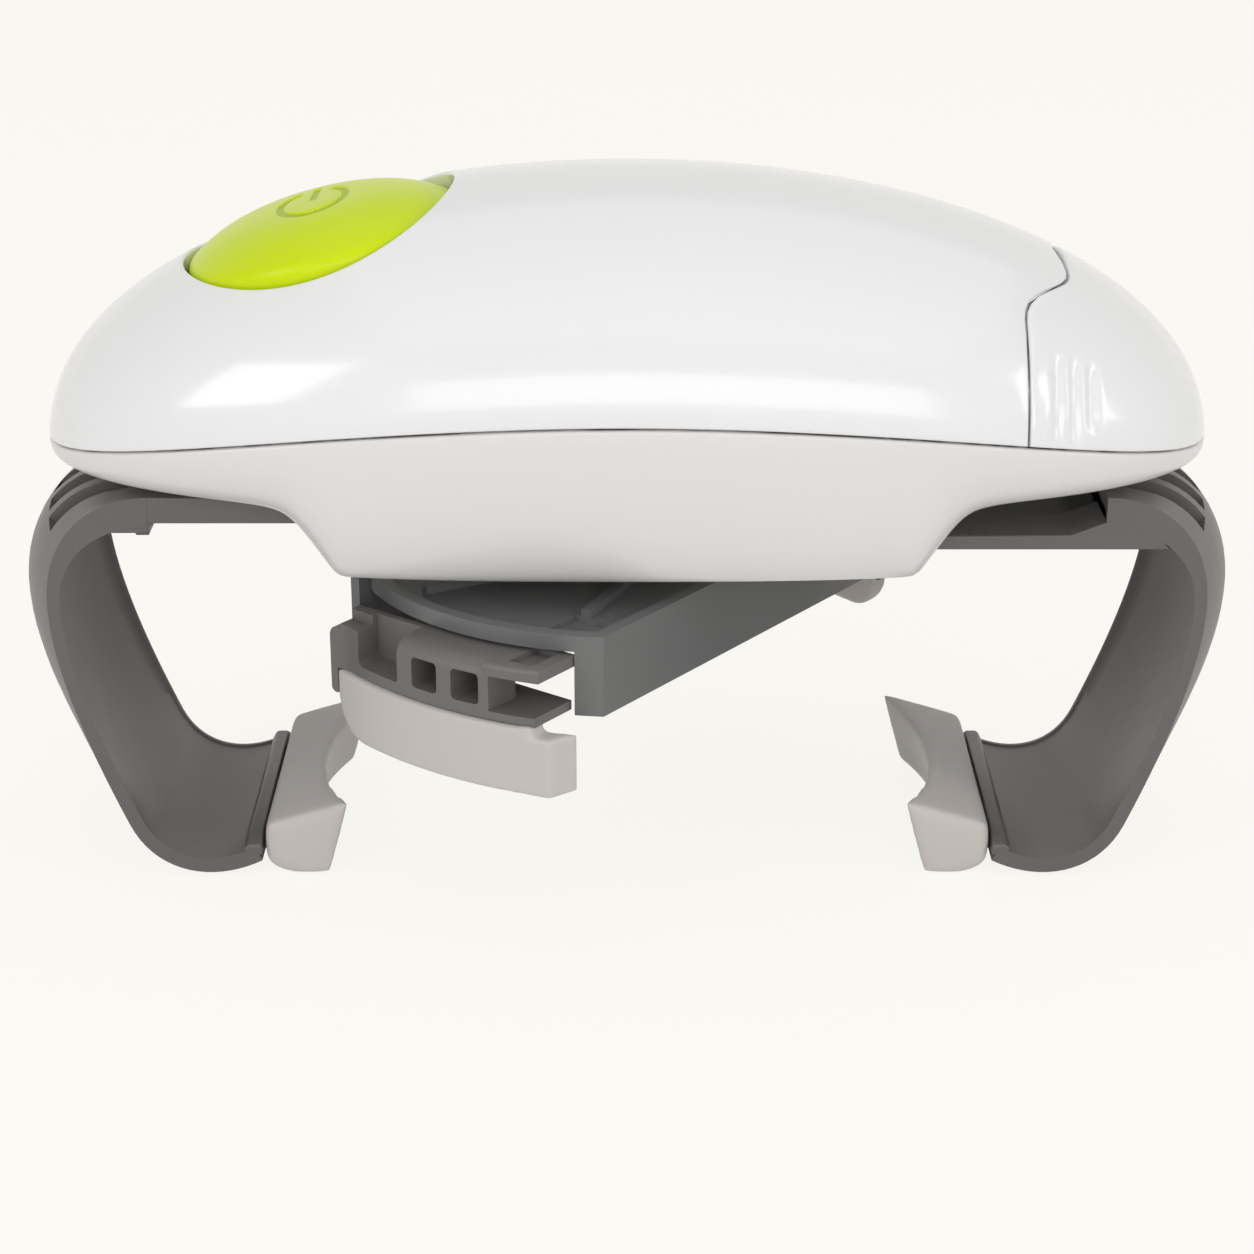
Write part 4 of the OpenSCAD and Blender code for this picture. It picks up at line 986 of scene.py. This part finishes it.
# %% Rib and stop under the bend, tongue and lip at the foot
def arm_stiffeners(side):
    rib = box(side + "_arm_rib", (-ARM_BEND - 2, -HALF_ARM + 1, GUIDE_Z + GUIDE_T),
              (-ARM_BEND, HALF_ARM - 1, BAR_Z + GUIDE_T), arm_grey)
    stop = side_block(side + "_arm_stop", [
        (-ARM_BEND - 5.5, BAR_Z - 1.5), (-ARM_BEND - 0.2, BAR_Z - 1.5), (-ARM_BEND + 0.6, BAR_Z - 0.2),
        (-ARM_BEND + 0.6, BAR_Z + 1), (-ARM_BEND - 6, BAR_Z + 1)],
        -HALF_ARM + 0.1, -HALF_ARM + 5, arm_grey)
    return [(rib, 0.2), (stop, 0.3)]


def arm_foot(side):
    """A tongue that the pad is moulded round, and a raised lip whose ends run low."""
    tongue = box(side + "_arm_tongue", (-FOOT - 1.2, -HALF_ARM + 4, 2.6),
                 (-FOOT + 3.4, HALF_ARM - 4, 4.6), arm_grey)
    lip = skin(side + "_arm_lip", [
        [(-FOOT - 1.8, y, 4.0), (-FOOT - 1.6, y, 4.4 + up * 0.4), (-FOOT - 0.9, y, 4.4 + up),
         (-FOOT + 1.1, y, 4.4 + up), (-FOOT + 1.1, y, 3.2)]
        for y, up in ((-HALF_ARM + 0.03, 0.6), (-HALF_ARM + 3, 2.2),
                      (HALF_ARM - 3, 2.2), (HALF_ARM - 0.03, 0.6))], arm_grey)
    return [(tongue, 0.2), (lip, 0.4)]


print("tongue", ARM_W - 8, "mm wide")


# %% Put the arms together
def turned(piece, angle_deg):
    piece.data.transform(Matrix.Rotation(math.radians(angle_deg), 4, "Z"))
    return piece


def build_arm(side):
    shell = arm_shell(side)
    parts = [(shell, 0.35)] + arm_slide(side) + arm_stiffeners(side) + arm_foot(side)
    for piece, edge in parts:
        turned(piece, 0 if side == "left" else 180)
        break_edges(piece, edge, segments=2)
        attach(piece, side + "_arm")
        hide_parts(side + "_arm")
    return shell


for side in ("left", "right"):
    print(side, "arm:", len(build_arm(side).data.polygons), "faces")

# %% [markdown]
# ## Arm pads
# A soft pad is moulded over the foot of each arm. It has a sloped top, generous round edges,
# and a hollow side that grips. The hollow is cut as a cone that widens downwards. A cushion
# would need cloth, but this is solid moulded rubber, so smoothing its edges is enough.

# %% Outlines with round corners
def rounded(corners, steps=5):
    """An outline whose corners, given as (x, y, radius), are rounded."""
    points = []
    for i, (x, y, r) in enumerate(corners):
        here = np.array((x, y), float)
        back = np.array(corners[i - 1][:2], float) - here
        ahead = np.array(corners[(i + 1) % len(corners)][:2], float) - here
        back, ahead = back / np.linalg.norm(back), ahead / np.linalg.norm(ahead)
        half = math.acos(max(-1.0, min(1.0, float(back @ ahead)))) / 2
        if r == 0 or half > 1.55:
            points.append((x, y))
            continue
        middle = (back + ahead) / np.linalg.norm(back + ahead) * (r / math.sin(half)) + here
        start, end = here + back * r / math.tan(half), here + ahead * r / math.tan(half)
        a0 = math.atan2(*(start - middle)[::-1])
        turn = (math.atan2(*(end - middle)[::-1]) - a0 + math.pi) % (2 * math.pi) - math.pi
        points += [(middle[0] + r * math.cos(a0 + turn * k / steps),
                    middle[1] + r * math.sin(a0 + turn * k / steps)) for k in range(steps + 1)]
    return points


print("corners can be rounded")

# %% Arm pads
PAD_H, PAD_FALL, HOLLOW_R, PAD_OUT = 13.0, 4.8, 46.0, FOOT - 1.4
NOSE = HOLLOW_R * math.sqrt(1 - (HALF_ARM / HOLLOW_R) ** 2)
CONE_RISE, CONE_SIDES = 3.2, 160


def hollow_cutter():
    """A cone that is wider by CONE_RISE at the pad's foot than at its top."""
    widen = CONE_RISE / PAD_H
    return skin("hollow_cutter", [
        [(r * math.cos(2 * math.pi * j / CONE_SIDES), r * math.sin(2 * math.pi * j / CONE_SIDES), z)
         for j in range(CONE_SIDES)]
        for z, r in ((-1, HOLLOW_R + CONE_RISE + widen), (PAD_H + 1, HOLLOW_R - widen))], pad_rubber)


def build_arm_pad(side):
    outline = rounded([(-PAD_OUT, 1.8, 2.0), (-PAD_OUT + 3.2, 0, 2.0), (-NOSE + 2, 0, 0),
                       (-NOSE + 2, PAD_H + 0.3, 0), (-PAD_OUT + 0.1, PAD_H - PAD_FALL + 0.4, 0.6)])
    pad = side_block(side + "_arm_pad_skin", outline, -HALF_ARM, HALF_ARM, pad_rubber)
    carve(pad, hollow_cutter())
    soften(pad, voxel_mm=0.55, rounds=56)
    carve(pad, box("tongue_cutter", (-FOOT - 1, -HALF_ARM + 3.8, 2.4),
                   (-FOOT + 3.6, HALF_ARM - 3.8, 4.8), pad_rubber))
    turned(pad, 0 if side == "left" else 180)
    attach(pad, side + "_arm")
    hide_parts(side + "_arm_pad")
    return pad


for side in ("left", "right"):
    print(side, "pad:", len(build_arm_pad(side).data.polygons), "faces")

# %% [markdown]
# ## Clamp
# The clamp's carrier keeps the frame's shape, and its edges are broken with a Bevel. The jaws
# are made again, because their pockets have round corners and their top front edge is round.
# They are described in the clamp's own frame, where the front jaw faces +X, and then turned.
# Each jaw is joined from straight blocks and carved, and only then bent to the pad's curve,
# because straight blocks are easier to place than bent ones.

# %% Sizes of the clamp, and the carrier's edges
CLAMP_TURN, JAW_FACE, JAW_BACK = -127.0, 46.0, 40.3
JAW_Z, JAW_TOP, ROOF_Z, FLANGE_TOP = 35.6, 44.1, 42.3, 37.0
JAW_HALF, EAR, PASS, WING = 18.2, 2.0, 10.75, 4.0
JAW_BAR_Z, JAW_BAR_TOP = 38.7, 42.1
GRIP_R, JAW_PAD_T, JAW_PAD_H, PAD_CURVE = 45.4, 2.6, 10.2, 60

bevel = nodes["clamp_carrier"].modifiers.new("broken_edges", "BEVEL")
bevel.width = 0.35 * MM
bevel.segments = 3
bevel.limit_method = "ANGLE"
bevel.angle_limit = math.radians(35)
bevel.harden_normals = True
print("carrier edges broken")

# %% Blocks of a jaw
POCKET_DEEP = 4.7


def face_block(name, outline, x0, x1=None):
    """An outline in Y and Z, pulled along X, or from x0 out past the jaw's face."""
    return skin(name, [[(x, y, z) for y, z in outline] for x in (x0, x1 or JAW_FACE + 1)], jaw_grey)


def jaw_block(name, x0, x1, z0, z1, y0, y1, front_top=0.0, front_low=0.0):
    """A block whose upper and lower front edges may be round."""
    outline = rounded([(x0, z0, 0), (x1, z0, front_low), (x1, z1, front_top), (x0, z1, 0)], 6)
    return side_block(name, outline, y0, y1, jaw_grey)


def jaw_solid(side):
    """The jaw's body, with the roof, shelf, flange, tail and ear that stand out from it."""
    low, wing, tail_x = JAW_Z, JAW_BACK - WING, JAW_BACK + 0.5
    body = jaw_block(side + "_jaw_block", JAW_BACK, JAW_FACE, low, JAW_TOP, -JAW_HALF, PASS, 2.4, 0.3)
    roof = jaw_block("roof", wing, JAW_FACE, ROOF_Z, JAW_TOP, PASS - 1, JAW_HALF, 0.8)
    shelf = jaw_block("shelf", wing, tail_x, ROOF_Z, JAW_TOP, -5.4, JAW_HALF)
    flange = jaw_block("flange", wing, JAW_FACE, low, FLANGE_TOP, PASS - 1, JAW_HALF - 0.6, 0, 0.3)
    tail = jaw_block("tail", wing, tail_x, low, FLANGE_TOP, 0, JAW_HALF - 0.6)
    out, mid, inside = -JAW_HALF - EAR, -JAW_HALF - 0.7, -JAW_HALF + 0.2
    ear = face_block("ear", rounded([(out, low - 4, 0.9), (mid, low - 4, 0.2), (mid, low, 0),
                                     (inside, low, 0), (inside, JAW_TOP - 2, 0),
                                     (out, JAW_TOP - 2, 1.6)]), JAW_BACK + 1, JAW_FACE)
    return carve(body, roof, shelf, flange, tail, ear, join=True)


print("jaw", 2 * JAW_HALF, "mm wide and", round(JAW_TOP - JAW_Z, 1), "mm high")


# %% Pockets and recesses of a jaw
def jaw_cutters():
    pockets = [face_block("pocket", rounded([(y, 37.6, 0.7), (y + 4.6, 37.6, 0.7),
                                             (y + 4.6, 42.2, 0.7), (y, 42.2, 0.7)]),
                          JAW_FACE - POCKET_DEEP)
               for y in (-2.5, 4.6)]
    recess = face_block("recess", rounded([(-14.0, 37.4, 1.0), (-5.4, 37.4, 0.5),
                                           (-5.4, 47, 0), (-14.0, 47, 0)]), JAW_FACE - POCKET_DEEP)
    left_top = face_block("left_top", rounded([(-22, 42.6, 0), (-13.9, 42.6, 0),
                                               (-13.9, 47, 0), (-22, 47, 0)]), JAW_FACE - 3.6)
    roof_sink = side_block("roof_sink", [(JAW_BACK - WING + 1, 43.3), (JAW_FACE - 2.4, 43.3),
                                         (JAW_FACE - 2.4, 47), (JAW_BACK - WING + 1, 47)],
                           12.4, 16.2, jaw_grey)
    return pockets + [recess, left_top, roof_sink]


print("pockets", POCKET_DEEP, "mm deep")


# %% Bend a jaw to its pad's curve
def pad_outer(v):
    """Distance of the pad's outside from the clamp's axis, where it is v off the middle."""
    return GRIP_R + JAW_PAD_T - PAD_CURVE + math.sqrt(PAD_CURVE ** 2 - v * v)


BEND_FROM = 0.9


def follow_pad(piece):
    """Cuts a jaw into narrow slices and moves its front so that it follows the pad's curve."""
    mesh = bmesh.new()
    mesh.from_mesh(piece.data)
    for y in np.arange(-19.5, 18.2, 1.5):
        bmesh.ops.bisect_plane(mesh, geom=mesh.verts[:] + mesh.edges[:] + mesh.faces[:], dist=1e-7,
                               plane_co=(0, y * MM, 0), plane_no=(0, 1, 0))
    for v in mesh.verts:
        reach = max(0.0, (v.co.x / MM - JAW_BACK - BEND_FROM) / (JAW_FACE - JAW_BACK - BEND_FROM))
        v.co.x += reach * (pad_outer(max(-17.0, v.co.y / MM)) - 0.7 - JAW_FACE) * MM
    mesh.to_mesh(piece.data)
    mesh.free()
    return piece


print("pad reaches out to", round(pad_outer(0), 1), "mm")


# %% Put a jaw together
JAW_RACK_FROM, JAW_RACK_Y = -8, 12.0


def build_jaw(side):
    body = jaw_solid(side)
    carve(body, *jaw_cutters())
    follow_pad(body)
    teeth = rack_outline(JAW_RACK_FROM, JAW_BACK + 0.8, 6.2)
    bar = block(side + "_jaw_rack", [(x, y - JAW_RACK_Y) for x, y in teeth],
                JAW_BAR_Z, JAW_BAR_TOP, jaw_grey)
    for piece, edge in ((body, 0.35), (bar, 0.12)):
        turned(piece, CLAMP_TURN + (0 if side == "front" else 180))
        break_edges(piece, edge, segments=3)
        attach(piece, side + "_jaw")
        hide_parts(side + "_jaw")
    return body


print("jaw's rack reaches", -JAW_RACK_FROM, "mm past the clamp's axis")

# %% The strip and the thick end of a jaw pad
PAD_LIFT, END_PROUD, END_DROP = 6, 1.2, 1.2


def pad_strip(side):
    """The curved strip, whose lower edge rounds up over PAD_LIFT mm at its first end."""
    low, high = JAW_Z - JAW_PAD_H, JAW_Z - 0.05
    start, end = -JAW_HALF - 0.6, JAW_HALF - 0.8
    middle = start + PAD_LIFT
    steps = [start + PAD_LIFT * (1 - math.cos(math.radians(9 * k))) for k in range(11)]
    steps += list(np.linspace(middle, end, 29))[1:]
    rings = []
    for v in steps:
        round_up = PAD_LIFT - math.sqrt(max(0.0, PAD_LIFT ** 2 - (v - start - PAD_LIFT) ** 2))
        lift = round_up if v < middle else 0.0
        top = high + (0.25 if v > end - 2 else 0.0)
        outer, inner = pad_outer(v), math.sqrt(GRIP_R ** 2 - v * v)
        rings.append([(outer, v, low + lift), (outer, v, top), (inner, v, top), (inner, v, low + lift)])
    return skin(side + "_jaw_pad_skin", rings, pad_rubber)


def pad_end():
    """The thick end. Its corners are a distance from the axis and an angle round it."""
    low, high = JAW_Z - JAW_PAD_H, JAW_Z - 0.05
    out = GRIP_R + JAW_PAD_T + END_PROUD
    corners = [(out - 0.65, 19.0), (out, 24.4), (GRIP_R + 0.1, 28.5),
               (GRIP_R + 0.05, 24.0), (GRIP_R + 0.05, 19.0)]
    return block("pad_end", [(r * math.cos(math.radians(a)), r * math.sin(math.radians(a)))
                             for r, a in corners], low, high - END_DROP, pad_rubber)


print("pad's end stands", END_PROUD, "mm out from its strip")


# %% Make both jaws and their pads
def build_jaw_pad(side):
    pad = pad_strip(side)
    carve(pad, pad_end(), join=True)
    turned(pad, CLAMP_TURN + (0 if side == "front" else 180))
    soften(pad, voxel_mm=0.3, rounds=26)
    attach(pad, side + "_jaw")
    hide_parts(side + "_jaw_pad")
    return pad


for side in ("front", "rear"):
    print(side, "jaw:", len(build_jaw(side).data.polygons), "faces, its pad:",
          len(build_jaw_pad(side).data.polygons), "faces")

# %% [markdown]
# ## Studio
# The opener stands on a pale floor in soft light from large lamps above and to the sides.
# The floor takes a shadow, and the camera and the object's own gloss see the same off-white
# beyond it. A brighter world would do that too, but it would also burn out the white shell.
# So only camera, glossy and transmission rays see the bright background, and the light that
# falls on the object stays plain.

# %% Floor
FLOOR_HALF, FLOOR_GLOW = 3000, 0.88


def seen_rays(tree):
    """1 on rays from the camera, and on those that gloss or glass sends on, and 0 on others."""
    camera_ray, glossy_ray, through_ray = (
        tree.node("ShaderNodeLightPath", out=kind)
        for kind in ("Is Camera Ray", "Is Glossy Ray", "Is Transmission Ray"))
    return camera_ray + glossy_ray + through_ray


paint = Finish("floor_paint")
paint.set("Base Color", paint.blend(paint.noise(60, 2), (0.93, 0.925, 0.905), (0.95, 0.945, 0.925)))
paint.set("Roughness", 0.9)
glow = paint.node("ShaderNodeEmission", None, {"Color": (1.0, 0.985, 0.935), "Strength": 1.0})
surface = paint.node("ShaderNodeMixShader", None, {
    0: seen_rays(paint) * FLOOR_GLOW, 1: Wire(paint, paint.shader.outputs[0]), 2: glow})
paint.feed(paint.nodes["Material Output"].inputs["Surface"], surface)
corners = [(x * FLOOR_HALF, y * FLOOR_HALF, 0) for x, y in ((-1, -1), (1, -1), (1, 1), (-1, 1))]
floor = mesh_piece("studio_floor", corners, [(0, 1, 2, 3)], paint.material)
print("floor", 2 * FLOOR_HALF / 1000, "m wide")

# %% World
sky = bpy.data.worlds.new("studio")
bpy.context.scene.world = sky
air = Tree(sky)
fill = air.nodes["Background"]
air.feed(fill.inputs["Color"], (1.0, 0.99, 0.97))
air.feed(fill.inputs["Strength"], 0.38)
seen = air.node("ShaderNodeBackground", None, {"Color": (0.99, 0.975, 0.93), "Strength": 1.0})
both = air.node("ShaderNodeMixShader", None, {0: seen_rays(air), 1: Wire(air, fill.outputs[0]), 2: seen})
air.feed(air.nodes["World Output"].inputs["Surface"], both)
print("world fills the shadows at", fill.inputs["Strength"].default_value)

# %% Lamps
LAMPS = {
    "key_softbox": ((-0.65, -0.55, 0.55), (0, 0, 0.06), (0.4, 0.4), 1.7),
    "top_softbox": ((0.1, 0.0, 0.95), (0, 0, 0.05), (1.5, 1.1), 2.1),
    "side_softbox": ((0.75, -0.35, 0.4), (0, 0, 0.06), (0.25, 0.4), 1.0),
    "front_softbox": ((0.1, -0.95, 0.36), (0, 0, 0.05), (0.9, 0.4), 2.45),
}
for name, (place, aim, size, watts) in LAMPS.items():
    lamp = bpy.data.lights.new(name, "AREA")
    lamp.shape = "RECTANGLE"
    lamp.size, lamp.size_y = size
    lamp.energy = watts
    stand = bpy.data.objects.new(name, lamp)
    stand.location = place
    stand.rotation_euler = (Vector(aim) - Vector(place)).to_track_quat("-Z", "Y").to_euler()
    bpy.context.scene.collection.objects.link(stand)
bpy.context.scene.view_settings.view_transform = "Standard"
print(len(LAMPS), "lamps,", sum(watts for _, _, _, watts in LAMPS.values()), "W together")
